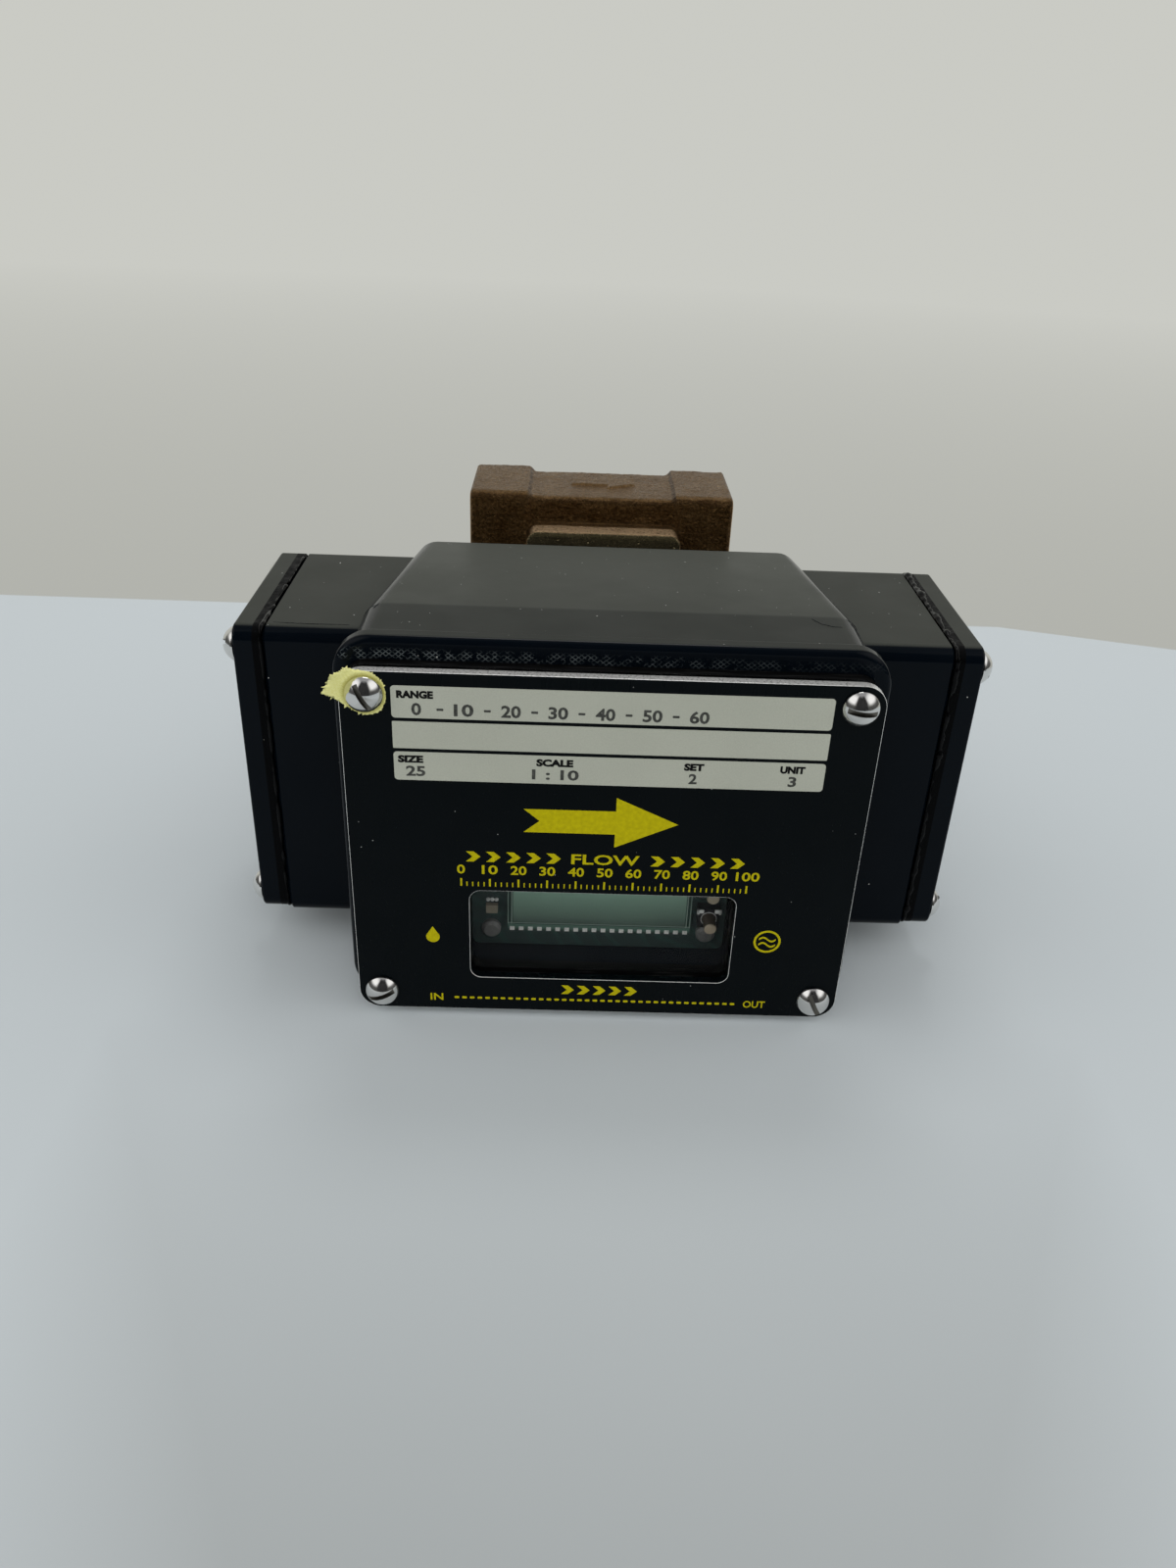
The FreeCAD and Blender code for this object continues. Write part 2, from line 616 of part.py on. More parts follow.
def end_cover(side):
    """The plate that closes a wing, rounded on its outer edge."""
    plate = slab_x(WING_DEPTH, COVER_HEIGHT, WING_EDGE, side * COVER_START, side * COVER_THICK, WING_Y, COVER_MID)
    plate = plate.makeFillet(COVER_EDGE_ROUND, edges_at(plate, 0, side * COVER_FACE))
    return drill(plate, cover_screw_rods(side, SCREW_R + CLEAR_HOLE_GAP, COVER_START, COVER_THICK))


def left_end_cover():
    """The left cover has the conduit entry in its middle."""
    return end_cover(-1).cut(rod_x(CONDUIT_R, -COVER_FACE, COVER_THICK, WING_Y, COVER_MID))


def cover_screws(side):
    """The four screws of one end cover, each stopped with its slot at its own angle."""
    screws = []
    for index, (back, level) in enumerate(CORNERS):
        screw = slotted_screw(END_GASKET_THICK + COVER_THICK + COVER_SCREW_GRIP, index * COVER_SLOT_TURN)
        screw.rotate(Vector(0, 0, 0), Vector(0, 0, 1), side * 90)
        place_y = WING_Y + back * COVER_SCREW_Y
        screw.translate(Vector(side * COVER_FACE, place_y, COVER_MID + level * COVER_SCREW_Z))
        screws.append(screw)
    return Part.makeCompound(screws)


def display_board():
    """The front circuit board, which passes through the flange's mouth."""
    width = DISPLAY_BOARD_WIDTH
    height = MOUTH_HEIGHT - 2 * BOARD_SLIP
    board = slab_y(width, height, DISPLAY_BOARD_CORNER, DISPLAY_FRONT, BOARD_THICK, z=HOUSING_MID)
    return drill(board, standoff_rods(STUD_R + THREAD_GAP, DISPLAY_FRONT, BOARD_THICK))


def lcd_glass():
    """Two glass plates: the rear one longer, as a ledge for the pins."""
    front = block(
        (-LCD_WIDTH / 2, LCD_DEPTH, LCD_MID - LCD_HEIGHT / 2 + LCD_LEDGE),
        (LCD_WIDTH / 2, LCD_DEPTH + LCD_GLASS, LCD_MID + LCD_HEIGHT / 2 - LCD_LEDGE),
    )
    rear = block(
        (-LCD_WIDTH / 2, LCD_DEPTH + LCD_GLASS, LCD_MID - LCD_HEIGHT / 2),
        (LCD_WIDTH / 2, LCD_DEPTH + 2 * LCD_GLASS, LCD_MID + LCD_HEIGHT / 2),
    )
    return front.fuse(rear)


def pin_places():
    """The places of the display's pins along X."""
    first = -LCD_PIN_PITCH * (LCD_PIN_COUNT - 1) / 2
    return [first + LCD_PIN_PITCH * index for index in range(LCD_PIN_COUNT)]


def pin_leg(level):
    """The span in Z of a pin's leg, just outside the glass, above or below it."""
    edge = LCD_MID + level * LCD_HEIGHT / 2
    return sorted((edge, edge + level * LCD_PIN_THICK))


def lcd_pins():
    """Bent strips that clip on the glass ledges and stand on the board."""
    pins = []
    ledge = LCD_DEPTH + LCD_GLASS
    for level in SIDES:
        leg_low, leg_high = pin_leg(level)
        edge = LCD_MID + level * LCD_HEIGHT / 2
        tab_low = min(edge - level * LCD_PIN_TAB, leg_low)
        tab_high = max(edge - level * LCD_PIN_TAB, leg_high)
        for x in pin_places():
            left = x - LCD_PIN_WIDTH / 2
            right = x + LCD_PIN_WIDTH / 2
            tab = block((left, ledge - LCD_PIN_THICK, tab_low), (right, ledge, tab_high))
            leg = block((left, ledge, leg_low), (right, DISPLAY_FRONT, leg_high))
            pins.append(tab.fuse(leg).removeSplitter())
    return Part.makeCompound(pins)


def switch_bases():
    """The square cases of the push switches, with room inside for the stems' feet."""
    bases = []
    for x, z in SWITCH_PLACES.values():
        half = SWITCH_SIZE / 2
        base = block((x - half, SWITCH_FRONT, z - half), (x + half, DISPLAY_FRONT, z + half))
        room = rod_y(STEM_FOOT_R + STEM_GAP, SWITCH_FRONT + SWITCH_LID, SWITCH_ROOM, x, z)
        mouth = rod_y(STEM_R + STEM_GAP, SWITCH_FRONT, SWITCH_LID, x, z)
        bases.append(drill(base, [room, mouth]))
    return Part.makeCompound(bases)


def button(name):
    """One push stem: a foot under the switch's lid and a round pin through it."""
    x, z = SWITCH_PLACES[name]
    foot_front = SWITCH_FRONT + SWITCH_LID + STEM_LID_GAP
    foot = rod_y(STEM_FOOT_R, foot_front, STEM_FOOT_THICK, x, z)
    stem_front = SWITCH_FRONT - STEM_REACH
    stem = rod_y(STEM_R, stem_front, foot_front - stem_front, x, z)
    return stem.fuse(foot)


def display_parts():
    """A chip part soldered beside the display."""
    width, height, tall = CHIP_SIZE
    z = FLANGE_BELOW + CHIP_LIFT
    low = (CHIP_X - width / 2, DISPLAY_FRONT - height, z - tall / 2)
    return block(low, (CHIP_X + width / 2, DISPLAY_FRONT, z + tall / 2))


def board_screws():
    """Round-headed screws that hold the display board on its standoffs."""
    screws = []
    heads = standoff_rods(BOARD_HEAD_R, DISPLAY_FRONT - BOARD_HEAD_HEIGHT, BOARD_HEAD_HEIGHT)
    shanks = standoff_rods(STUD_R, DISPLAY_FRONT, BOARD_THICK + STUD_LENGTH)
    for head, shank in zip(heads, shanks):
        crown = edges_at(head, 1, DISPLAY_FRONT - BOARD_HEAD_HEIGHT)
        screws.append(head.makeChamfer(BOARD_HEAD_CHAMFER, crown).fuse(shank))
    return Part.makeCompound(screws)


def hex_standoffs(front, back):
    """Four hexagon standoffs: tapped in front, with a stud behind."""
    standoffs = []
    studs = standoff_rods(STUD_R, back, STUD_LENGTH)
    taps = standoff_rods(STUD_R + THREAD_GAP, front, STUD_LENGTH + HOLE_RUNOUT)
    corner_r = STANDOFF_FLATS / math.sqrt(3)
    for stud, tap in zip(studs, taps):
        centre = tap.BoundBox.Center
        ring = []
        for index in range(7):
            turn = math.radians(60 * index)
            ring.append(Vector(centre.x + corner_r * math.cos(turn), front, centre.z + corner_r * math.sin(turn)))
        bar = Part.Face(Part.makePolygon(ring)).extrude(Vector(0, back - front, 0))
        standoffs.append(bar.fuse(stud).cut(tap))
    return Part.makeCompound(standoffs)


def main_board():
    """The rear circuit board, in the tapered tube."""
    tube_width, tube_height = tube_size(MAIN_BACK)
    width = tube_width - 2 * (WALL + MAIN_BOARD_MARGIN_X)
    height = tube_height - 2 * (WALL + MAIN_BOARD_MARGIN_Z)
    board = slab_y(width, height, MAIN_BOARD_CORNER, MAIN_FRONT, BOARD_THICK, z=HOUSING_MID)
    return drill(board, standoff_rods(STUD_R + THREAD_GAP, MAIN_FRONT, BOARD_THICK))


def sensor_chip():
    """The angle sensor on the back of the main board, facing the magnet."""
    return slab_y(
        SENSOR_SIZE, SENSOR_SIZE, SENSOR_HEIGHT / 2, MAIN_BACK, SENSOR_HEIGHT, METER_SHIFT, SHAFT_Z
    )


def terminal_place():
    """The left face, the back and the middle height of the terminal block."""
    return -WING_END + BLOCK_INSET, TUBE_BACK - WING_WALL, WING_MID


def terminal_ways():
    """The heights of the terminal block's ways."""
    pitch = BLOCK_LENGTH / BLOCK_WAYS
    return [WING_MID + pitch * (index - (BLOCK_WAYS - 1) / 2) for index in range(BLOCK_WAYS)]


def terminal_block():
    """A moulded strip with a screw well and a wire entry for each way."""
    left, back, mid = terminal_place()
    low = mid - BLOCK_LENGTH / 2
    high = mid + BLOCK_LENGTH / 2
    body = block((left, back - BLOCK_DEPTH, low), (left + BLOCK_HEIGHT, back, high))
    step = block((left, back - BLOCK_DEPTH, low), (left + BLOCK_STEP, back - BLOCK_DEPTH + BLOCK_STEP, high))
    body = body.cut(step)
    well_y = terminal_screw_y()
    for z in terminal_ways():
        body = body.cut(rod_x(BLOCK_SCREW_R + BLOCK_WALL / 2, left, 2 * BLOCK_SCREW_HEIGHT, well_y, z))
        entry_x = left + BLOCK_HEIGHT - BLOCK_WIRE_R - BLOCK_WALL
        body = body.cut(rod_y(BLOCK_WIRE_R, back - BLOCK_DEPTH, BLOCK_WIRE_DEPTH, entry_x, z))
    return body


def terminal_screw_y():
    """The depth at which the terminal screws stand."""
    return terminal_place()[1] - (BLOCK_DEPTH - BLOCK_STEP) / 2


def terminal_screws():
    """The clamp screws at the bottom of the wells, each with a slot."""
    left = terminal_place()[0] + BLOCK_SCREW_HEIGHT
    y = terminal_screw_y()
    screws = []
    for z in terminal_ways():
        screw = rod_x(BLOCK_SCREW_R, left, BLOCK_SCREW_HEIGHT, y, z)
        slot_low = (left, y - BLOCK_SCREW_R, z - SLOT_WIDTH / 2)
        slot_high = (left + SLOT_DEPTH, y + BLOCK_SCREW_R, z + SLOT_WIDTH / 2)
        screws.append(screw.cut(block(slot_low, slot_high)))
    return Part.makeCompound(screws)


def meter_body():
    """The bronze casting: two square pipe ends, a waist, a belly and the boss for the box."""
    half = BODY_LENGTH / 2
    waist_size = BODY_SQUARE - 2 * RECESS
    waist_corner = BODY_CORNER - RECESS / 2
    shape = slab_x(
        waist_size, waist_size, waist_corner, METER_SHIFT - half, BODY_LENGTH, PIPE_Y, PIPE_Z
    )
    for side in SIDES:
        face_x = METER_SHIFT + side * half
        step_x = face_x - side * BODY_END_LENGTH
        end = slab_x(
            BODY_SQUARE, BODY_SQUARE, BODY_CORNER, face_x, step_x - face_x, PIPE_Y, PIPE_Z
        )
        end = end.makeChamfer(BODY_END_CHAMFER, edges_at(end, 0, face_x))
        end = end.makeChamfer(RECESS, edges_at(end, 0, step_x))
        shape = shape.fuse(end)
    shape = shape.fuse(belly()).fuse(boss())
    for side in SIDES:
        port_x = METER_SHIFT + side * half
        low = min(port_x, port_x - side * PORT_DEPTH)
        shape = shape.cut(rod_x(PORT_R, low, PORT_DEPTH, PIPE_Y, PIPE_Z))
    shape = shape.cut(rod_x(THROAT_R, METER_SHIFT - half, BODY_LENGTH, PIPE_Y, PIPE_Z))
    shape = shape.cut(chamber())
    shape = shape.cut(rod_y(BUSH_R + PRESS_GAP, BOSS_FRONT, CHAMBER_FRONT - BOSS_FRONT, METER_SHIFT, SHAFT_Z))
    shape = shape.cut(rod_y(REAR_BUSH_R + PRESS_GAP, CHAMBER_BACK, REAR_BUSH_LENGTH, METER_SHIFT, SHAFT_Z))
    return drill(shape, body_screw_rods(SCREW_R + THREAD_GAP, BOSS_FRONT, BODY_SCREW_GRIP + HOLE_RUNOUT))


def belly():
    """The rounded bulge under the waist that holds the vane's hub."""
    start = METER_SHIFT - CHAMBER_UPSTREAM - BELLY_WALL
    length = CHAMBER_UPSTREAM + CHAMBER_DOWNSTREAM + 2 * BELLY_WALL
    bottom = CHAMBER_BOTTOM - BELLY_WALL
    height = PIPE_Z - bottom
    depth = CHAMBER_WIDTH + 2 * BELLY_WALL
    return slab_x(depth, height, BELLY_CORNER, start, length, PIPE_Y, bottom + height / 2)


def boss():
    """The raised pad that seats against the back of the box."""
    depth = PIPE_Y - CHAMBER_WIDTH / 2 - BOSS_FRONT
    return slab_y(BOSS_WIDTH, BOSS_HEIGHT, BOSS_CORNER, BOSS_FRONT, depth, METER_SHIFT + BOSS_SHIFT, BOSS_MID)


def chamber():
    """The room in which the vane swings downstream."""
    width = CHAMBER_UPSTREAM + CHAMBER_DOWNSTREAM
    height = CHAMBER_TOP - CHAMBER_BOTTOM
    x = METER_SHIFT + (CHAMBER_DOWNSTREAM - CHAMBER_UPSTREAM) / 2
    z = CHAMBER_BOTTOM + height / 2
    return slab_y(width, height, CHAMBER_CORNER, CHAMBER_FRONT, CHAMBER_WIDTH, x, z)


def body_gasket():
    """The thin gasket between the boss and the back of the box."""
    low = BOSS_MID - BOSS_HEIGHT / 2
    height = HOUSING_MID + TUBE_BACK_HEIGHT / 2 - TUBE_BACK_ROUND - low
    x = METER_SHIFT + BOSS_SHIFT
    sheet = slab_y(BOSS_WIDTH, height, BOSS_CORNER, TUBE_BACK, BODY_GASKET_THICK, x, low + height / 2)
    shaft_hole = rod_y(SHAFT_R + WALL_HOLE_GAP, TUBE_BACK, BODY_GASKET_THICK, METER_SHIFT, SHAFT_Z)
    holes = body_screw_rods(SCREW_R + CLEAR_HOLE_GAP, TUBE_BACK, BODY_GASKET_THICK)
    return drill(sheet, [shaft_hole] + holes)


def body_screws():
    """The screws that hold the meter body, put in from inside the box."""
    screws = []
    length = WALL + BODY_GASKET_THICK + BODY_SCREW_GRIP
    for rod in body_screw_rods(SCREW_R, BACK_WALL, WALL):
        centre = rod.BoundBox.Center
        screw = pan_screw(length)
        screw.translate(Vector(centre.x, BACK_WALL, centre.z))
        screws.append(screw)
    return Part.makeCompound(screws)


def bush(radius, front, length):
    """A plain bearing for the shaft."""
    outer = rod_y(radius, front, length, METER_SHIFT, SHAFT_Z)
    return outer.cut(rod_y(SHAFT_R + RUNNING_GAP, front, length, METER_SHIFT, SHAFT_Z))


def shaft_profile(front, back, gap):
    """The shaft's section with its flat, between two depths, grown by a gap."""
    rod = rod_y(SHAFT_R + gap, front, back - front, METER_SHIFT, SHAFT_Z)
    flat_x = METER_SHIFT + SHAFT_R - SHAFT_FLAT + gap
    reach = 2 * SHAFT_R
    flat = block((flat_x, front, SHAFT_Z - reach), (flat_x + reach, back, SHAFT_Z + reach))
    return rod.cut(flat)


def shaft():
    """The vane's shaft, round in its bushes and flat where the vane and carrier sit."""
    hub_front = PIPE_Y - BLADE_WIDTH / 2
    round_part = rod_y(SHAFT_R, CARRIER_BACK, hub_front - CARRIER_BACK, METER_SHIFT, SHAFT_Z)
    front_flat = shaft_profile(SHAFT_FRONT, CARRIER_BACK, 0.0)
    rear_flat = shaft_profile(hub_front, SHAFT_BACK, 0.0)
    return round_part.fuse(front_flat).fuse(rear_flat)


def vane():
    """A hub on the shaft with a flat blade that stands up across the stream."""
    front = PIPE_Y - BLADE_WIDTH / 2
    hub = rod_y(HUB_R, front, BLADE_WIDTH, METER_SHIFT, SHAFT_Z)
    tip = CHAMBER_TOP - BLADE_TIP_GAP
    height = tip - SHAFT_Z
    left = METER_SHIFT - BLADE_THICK / 2
    blade = block((left, front, SHAFT_Z), (left + BLADE_THICK, front + BLADE_WIDTH, tip))
    trim = slab_x(BLADE_WIDTH, 2 * height, BLADE_CORNER, left, BLADE_THICK, PIPE_Y, SHAFT_Z)
    shape = hub.fuse(blade.common(trim))
    return shape.cut(shaft_profile(front, front + BLADE_WIDTH, PRESS_GAP))


def magnet_carrier():
    """A turned carrier on the shaft's front end, with a cup for the magnet."""
    hub = rod_y(CARRIER_HUB_R, DISC_BACK, CARRIER_HUB_LENGTH, METER_SHIFT, SHAFT_Z)
    disc = rod_y(CARRIER_DISC_R, DISC_FRONT, CARRIER_DISC_THICK, METER_SHIFT, SHAFT_Z)
    cup = rod_y(CARRIER_CUP_R, CUP_FRONT, CARRIER_CUP_LENGTH, METER_SHIFT, SHAFT_Z)
    pocket = rod_y(MAGNET_R + PRESS_GAP, CUP_FRONT, MAGNET_THICK, METER_SHIFT, SHAFT_Z)
    shape = hub.fuse(disc).fuse(cup).cut(pocket)
    return shape.cut(shaft_profile(SHAFT_FRONT, CARRIER_BACK, PRESS_GAP))


def magnet():
    """The disc magnet in the carrier's cup."""
    return rod_y(MAGNET_R, CUP_FRONT, MAGNET_THICK, METER_SHIFT, SHAFT_Z)


def spring_arc_r(index):
    """The middle radius of one half turn of the spring, counted from inside."""
    return CARRIER_HUB_R + SPRING_STRIP / 2 + SPRING_PITCH / 2 * index


def anchor_place():
    """Where the spring's outer end is held, just outside its last half turn."""
    last = 2 * SPRING_TURNS - 1
    end_x = spring_centre_x(last) - spring_arc_r(last)
    return end_x - SPRING_STRIP / 2 - ANCHOR_R, SHAFT_Z


def spring_centre_x(index):
    """The centre of one half turn: odd ones lie half a step to the side, so that the turns join."""
    return METER_SHIFT + (SPRING_PITCH / 2 if index % 2 else 0.0)


def spring_anchor():
    """The pin in the back wall that holds the spring's outer end."""
    x, z = anchor_place()
    reach = SPRING_END_GAP + SPRING_WIDTH
    return rod_y(ANCHOR_R, BACK_WALL - reach, reach + ANCHOR_SEAT, x, z)


def return_spring():
    """A flat spiral strip from the carrier's hub out to the anchor pin, as joined half turns."""
    front = BACK_WALL - SPRING_END_GAP - SPRING_WIDTH
    half_turns = []
    for index in range(2 * SPRING_TURNS):
        radius = spring_arc_r(index)
        x = spring_centre_x(index)
        ring = rod_y(radius + SPRING_STRIP / 2, front, SPRING_WIDTH, x, SHAFT_Z)
        ring = ring.cut(rod_y(radius - SPRING_STRIP / 2, front, SPRING_WIDTH, x, SHAFT_Z))
        reach = radius + SPRING_STRIP
        level = 0.0 if index % 2 else -reach
        half = block((x - reach, front, SHAFT_Z + level), (x + reach, front + SPRING_WIDTH, SHAFT_Z + level + reach))
        half_turns.append(ring.common(half))
    return half_turns[0].fuse(half_turns[1:]).removeSplitter()


PIECES = {
    "housing": housing(),
    "front_plate": front_plate(),
    "window_sheet": window_sheet(),
    "front_gasket": front_gasket(),
    "front_screws": front_screws(),
    "tag_scrap": tag_scrap(),
    "left_end_gasket": end_gasket(-1),
    "right_end_gasket": end_gasket(1),
    "left_end_cover": left_end_cover(),
    "right_end_cover": end_cover(1),
    "left_cover_screws": cover_screws(-1),
    "right_cover_screws": cover_screws(1),
    "display_board": display_board(),
    "lcd_glass": lcd_glass(),
    "lcd_pins": lcd_pins(),
    "switch_bases": switch_bases(),
    "lower_button": button("lower_button"),
    "upper_button": button("upper_button"),
    "display_parts": display_parts(),
    "board_screws": board_screws(),
    "front_standoffs": hex_standoffs(DISPLAY_BACK, MAIN_FRONT),
    "rear_standoffs": hex_standoffs(MAIN_BACK, BACK_WALL - POST_LENGTH),
    "main_board": main_board(),
    "sensor_chip": sensor_chip(),
    "terminal_block": terminal_block(),
    "terminal_screws": terminal_screws(),
    "meter_body": meter_body(),
    "body_gasket": body_gasket(),
    "body_screws": body_screws(),
    "shaft_bush": bush(BUSH_R, BUSH_FRONT, CHAMBER_FRONT - BUSH_FRONT),
    "rear_bush": bush(REAR_BUSH_R, CHAMBER_BACK, REAR_BUSH_LENGTH),
    "shaft_seal": bush(BUSH_R, BOSS_FRONT, SEAL_LENGTH),
    "shaft": shaft(),
    "vane": vane(),
    "magnet_carrier": magnet_carrier(),
    "magnet": magnet(),
    "return_spring": return_spring(),
    "spring_anchor": spring_anchor(),
}

os.makedirs("parts", exist_ok=True)
for node, shape in PIECES.items():
    shape.translate(Vector(0, -MIDDLE_Y, 0))
    shape.exportStep("parts/" + node + ".step")
    print(node, "solids", len(shape.Solids), "valid", shape.isValid(), "volume", round(shape.Volume, 1))
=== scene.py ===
# %% [markdown]
# # A flow monitor, dressed for its photograph
# The solids already have the real shapes and sizes. This lesson gives each of them its finish, and adds
# what is too fine for the solids: print, solder, threads, sealant, dust and torn paper.
# The frame is loaded first, because the pieces below take their places from it. Tones, print and wear were
# matched to the photograph. Lengths are in millimetres, and MM turns them into metres.

# %% Load the solids
import json
import math
import random
from functools import partialmethod

import bmesh
import bpy
from mathutils import Matrix, Vector, noise
from mathutils.bvhtree import BVHTree


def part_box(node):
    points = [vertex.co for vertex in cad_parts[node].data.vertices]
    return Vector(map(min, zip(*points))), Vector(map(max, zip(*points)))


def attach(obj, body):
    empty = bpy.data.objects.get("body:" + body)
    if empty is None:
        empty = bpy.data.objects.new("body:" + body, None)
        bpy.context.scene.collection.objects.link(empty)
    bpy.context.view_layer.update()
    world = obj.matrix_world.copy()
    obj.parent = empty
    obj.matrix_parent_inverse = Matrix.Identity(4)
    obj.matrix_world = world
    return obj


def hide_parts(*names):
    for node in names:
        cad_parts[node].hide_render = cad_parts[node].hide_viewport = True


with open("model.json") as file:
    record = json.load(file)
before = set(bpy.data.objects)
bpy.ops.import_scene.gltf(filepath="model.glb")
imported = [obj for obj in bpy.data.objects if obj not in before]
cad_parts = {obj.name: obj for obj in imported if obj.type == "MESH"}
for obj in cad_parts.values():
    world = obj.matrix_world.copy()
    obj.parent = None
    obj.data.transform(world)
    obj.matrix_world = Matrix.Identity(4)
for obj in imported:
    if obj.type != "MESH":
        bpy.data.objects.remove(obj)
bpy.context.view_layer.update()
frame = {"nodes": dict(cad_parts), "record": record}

MM = 0.001
scene = bpy.context.scene
scene.view_settings.view_transform = "Standard"
plate_low, plate_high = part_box("front_plate")


# %% [markdown]
# ## Camera
# The photograph was taken by hand from a little above, tilted slightly. The camera's place and turns were
# worked out from the front plate's corners, so they are written as a place, three turns and a lens. A turn
# order of heading, tilt and roll keeps each number readable, where a single matrix would hide them.

# %% Place the camera
CAMERA_AT = Vector((-11.088, -311.926, 213.613)) * MM
HEADING = math.radians(-1.385)
TILT = math.radians(-29.645)
ROLL = math.radians(-2.374)
LENS = 27.19

camera_data = bpy.data.cameras.new("photo_camera")
camera_data.lens = LENS
camera_data.sensor_width = 36
camera_data.clip_end = 200
camera = bpy.data.objects.new("photo_camera", camera_data)
aim = Matrix.Rotation(HEADING, 4, "Z") @ Matrix.Rotation(TILT, 4, "X") @ Matrix.Rotation(ROLL, 4, "Y")
upright = Matrix.Rotation(math.radians(90), 4, "X")
camera.matrix_world = Matrix.Translation(CAMERA_AT) @ aim @ upright
scene.collection.objects.link(camera)
scene.camera = camera
print("camera at", [round(v, 4) for v in camera.matrix_world.translation])


# %% [markdown]
# ## Helpers for node trees
# Shaders and Geometry Nodes are both trees of nodes. What a node gives out is kept here as a Value, so that
# arithmetic on nodes reads like plain arithmetic: the product of two masks is where both hold, and | is
# where either does. A Finish is one material. It gives places on the piece, and takes a colour, a roughness
# and a bump. Adding each node and link by hand would do the same, but would hide what a pattern means.

# %% Values of nodes
def add(tree, kind, inputs=None, **options):
    """Adds a node, sets its options, and fills its inputs with values or with links."""
    made = tree.nodes.new(kind)
    for name, option in options.items():
        setattr(made, name, option)
    for name, value in (inputs or {}).items():
        if isinstance(value, Value):
            tree.links.new(value.socket, made.inputs[name])
        else:
            made.inputs[name].default_value = value
    return made


def give(tree, kind, inputs=None, output=0, **options):
    """Adds a node and keeps one of its outputs as a Value."""
    return Value(add(tree, kind, inputs, **options).outputs[output])


class Value:
    """What a node gives out. Arithmetic with it adds nodes to the same tree."""

    def __init__(self, socket):
        self.socket = socket
        self.tree = socket.id_data

    def step(self, operation, other=0.0):
        """One step of arithmetic."""
        return give(self.tree, "ShaderNodeMath", {0: self, 1: other}, operation=operation)

    __add__ = partialmethod(step, "ADD")
    __sub__ = partialmethod(step, "SUBTRACT")
    __mul__ = partialmethod(step, "MULTIPLY")
    __truediv__ = partialmethod(step, "DIVIDE")
    __pow__ = partialmethod(step, "POWER")
    __gt__ = partialmethod(step, "GREATER_THAN")
    __lt__ = partialmethod(step, "LESS_THAN")
    __or__ = partialmethod(step, "MAXIMUM")
    __abs__ = partialmethod(step, "ABSOLUTE")

    def near(self, other, reach):
        """1 within reach of another value, and 0 elsewhere."""
        return give(self.tree, "ShaderNodeMath", {0: self, 1: other, 2: reach}, operation="COMPARE")

    def to(self, low, high, first=0, last=1):
        """Maps a range to another and stops at its ends."""
        values = {0: self, 1: low, 2: high, 3: first, 4: last}
        return give(self.tree, "ShaderNodeMapRange", values)

    def mix(self, colour, other):
        """Goes from one colour to another as the value goes from 0 to 1."""
        first, last = (end if isinstance(end, Value) else (*end, 1) for end in (colour, other))
        return give(self.tree, "ShaderNodeMix", {0: self, 6: first, 7: last}, 2, data_type="RGBA")

    def axes(self):
        """The three parts of a place or a direction."""
        return [Value(part) for part in add(self.tree, "ShaderNodeSeparateXYZ", {"Vector": self}).outputs]

    def grain(self, size, detail=2.0, rough=0.5):
        """Cloudy noise at a place, from 0 to 1, whose lumps are about size across."""
        values = {"Vector": self, "Scale": 1 / size, "Detail": detail, "Roughness": rough}
        return give(self.tree, "ShaderNodeTexNoise", values)

    def specks(self, spacing, size, share):
        """Scattered round specks of a size: a share of the pattern's cells holds one each."""
        cells = add(self.tree, "ShaderNodeTexVoronoi", {"Vector": self, "Scale": 1 / spacing})
        dot = Value(cells.outputs["Distance"]).to(0.25 * size / spacing, 0.5 * size / spacing, 1, 0)
        chance = give(self.tree, "ShaderNodeSeparateColor", {"Color": Value(cells.outputs["Color"])})
        return dot * (chance < share)


print("values can", [n for n in vars(Value) if n[0] != "_"])


# %% Finishes
class Finish:
    """A material. Its constants are inputs of its shader, with _ for a space."""

    def __init__(self, name, colour, roughness, metallic=0.0, **constants):
        self.material = bpy.data.materials.new(name)
        self.material.use_nodes = True
        self.material.diffuse_color = (*colour, 1)
        self.tree = self.material.node_tree
        self.shader = self.tree.nodes["Principled BSDF"]
        constants.update(Base_Color=(*colour, 1), Roughness=roughness, Metallic=metallic)
        for socket, value in constants.items():
            self.shader.inputs[socket.replace("_", " ")].default_value = value

    def mm(self, stretch=(1, 1, 1), turn=(0, 0, 0)):
        """The place on the piece, turned and stretched for a pattern with a direction."""
        place = give(self.tree, "ShaderNodeTexCoord", output="Object")
        scale = [part / MM for part in stretch]
        return give(self.tree, "ShaderNodeMapping", {"Vector": place, "Rotation": turn, "Scale": scale})

    def facing(self):
        """The three parts of the direction that the surface faces."""
        return give(self.tree, "ShaderNodeNewGeometry", output="Normal").axes()

    def mark(self, name):
        """A number that the mesh carries under a name."""
        return give(self.tree, "ShaderNodeAttribute", output="Fac", attribute_name=name)

    def wear(self, colour, roughness=None, *layers, alpha=None):
        """Links the shader's inputs. The bump has layers of (height, depth), one on top of the other."""
        normal = None
        for height, depth in layers:
            values = {"Height": height, "Distance": depth * MM, "Strength": 1.0}
            if normal is not None:
                values["Normal"] = normal
            normal = give(self.tree, "ShaderNodeBump", values)
        links = {"Base Color": colour, "Roughness": roughness, "Normal": normal, "Alpha": alpha}
        for name, value in links.items():
            if value is not None:
                self.tree.links.new(value.socket, self.shader.inputs[name])

    def swap(self, share, other):
        """Shows another shader in the place of this one, by a share."""
        ends = {0: share, 1: Value(self.shader.outputs[0]), 2: other}
        both = give(self.tree, "ShaderNodeMixShader", ends)
        self.tree.links.new(both.socket, self.tree.nodes["Material Output"].inputs["Surface"])


print("finishes can", [n for n in vars(Finish) if n[0] != "_"])


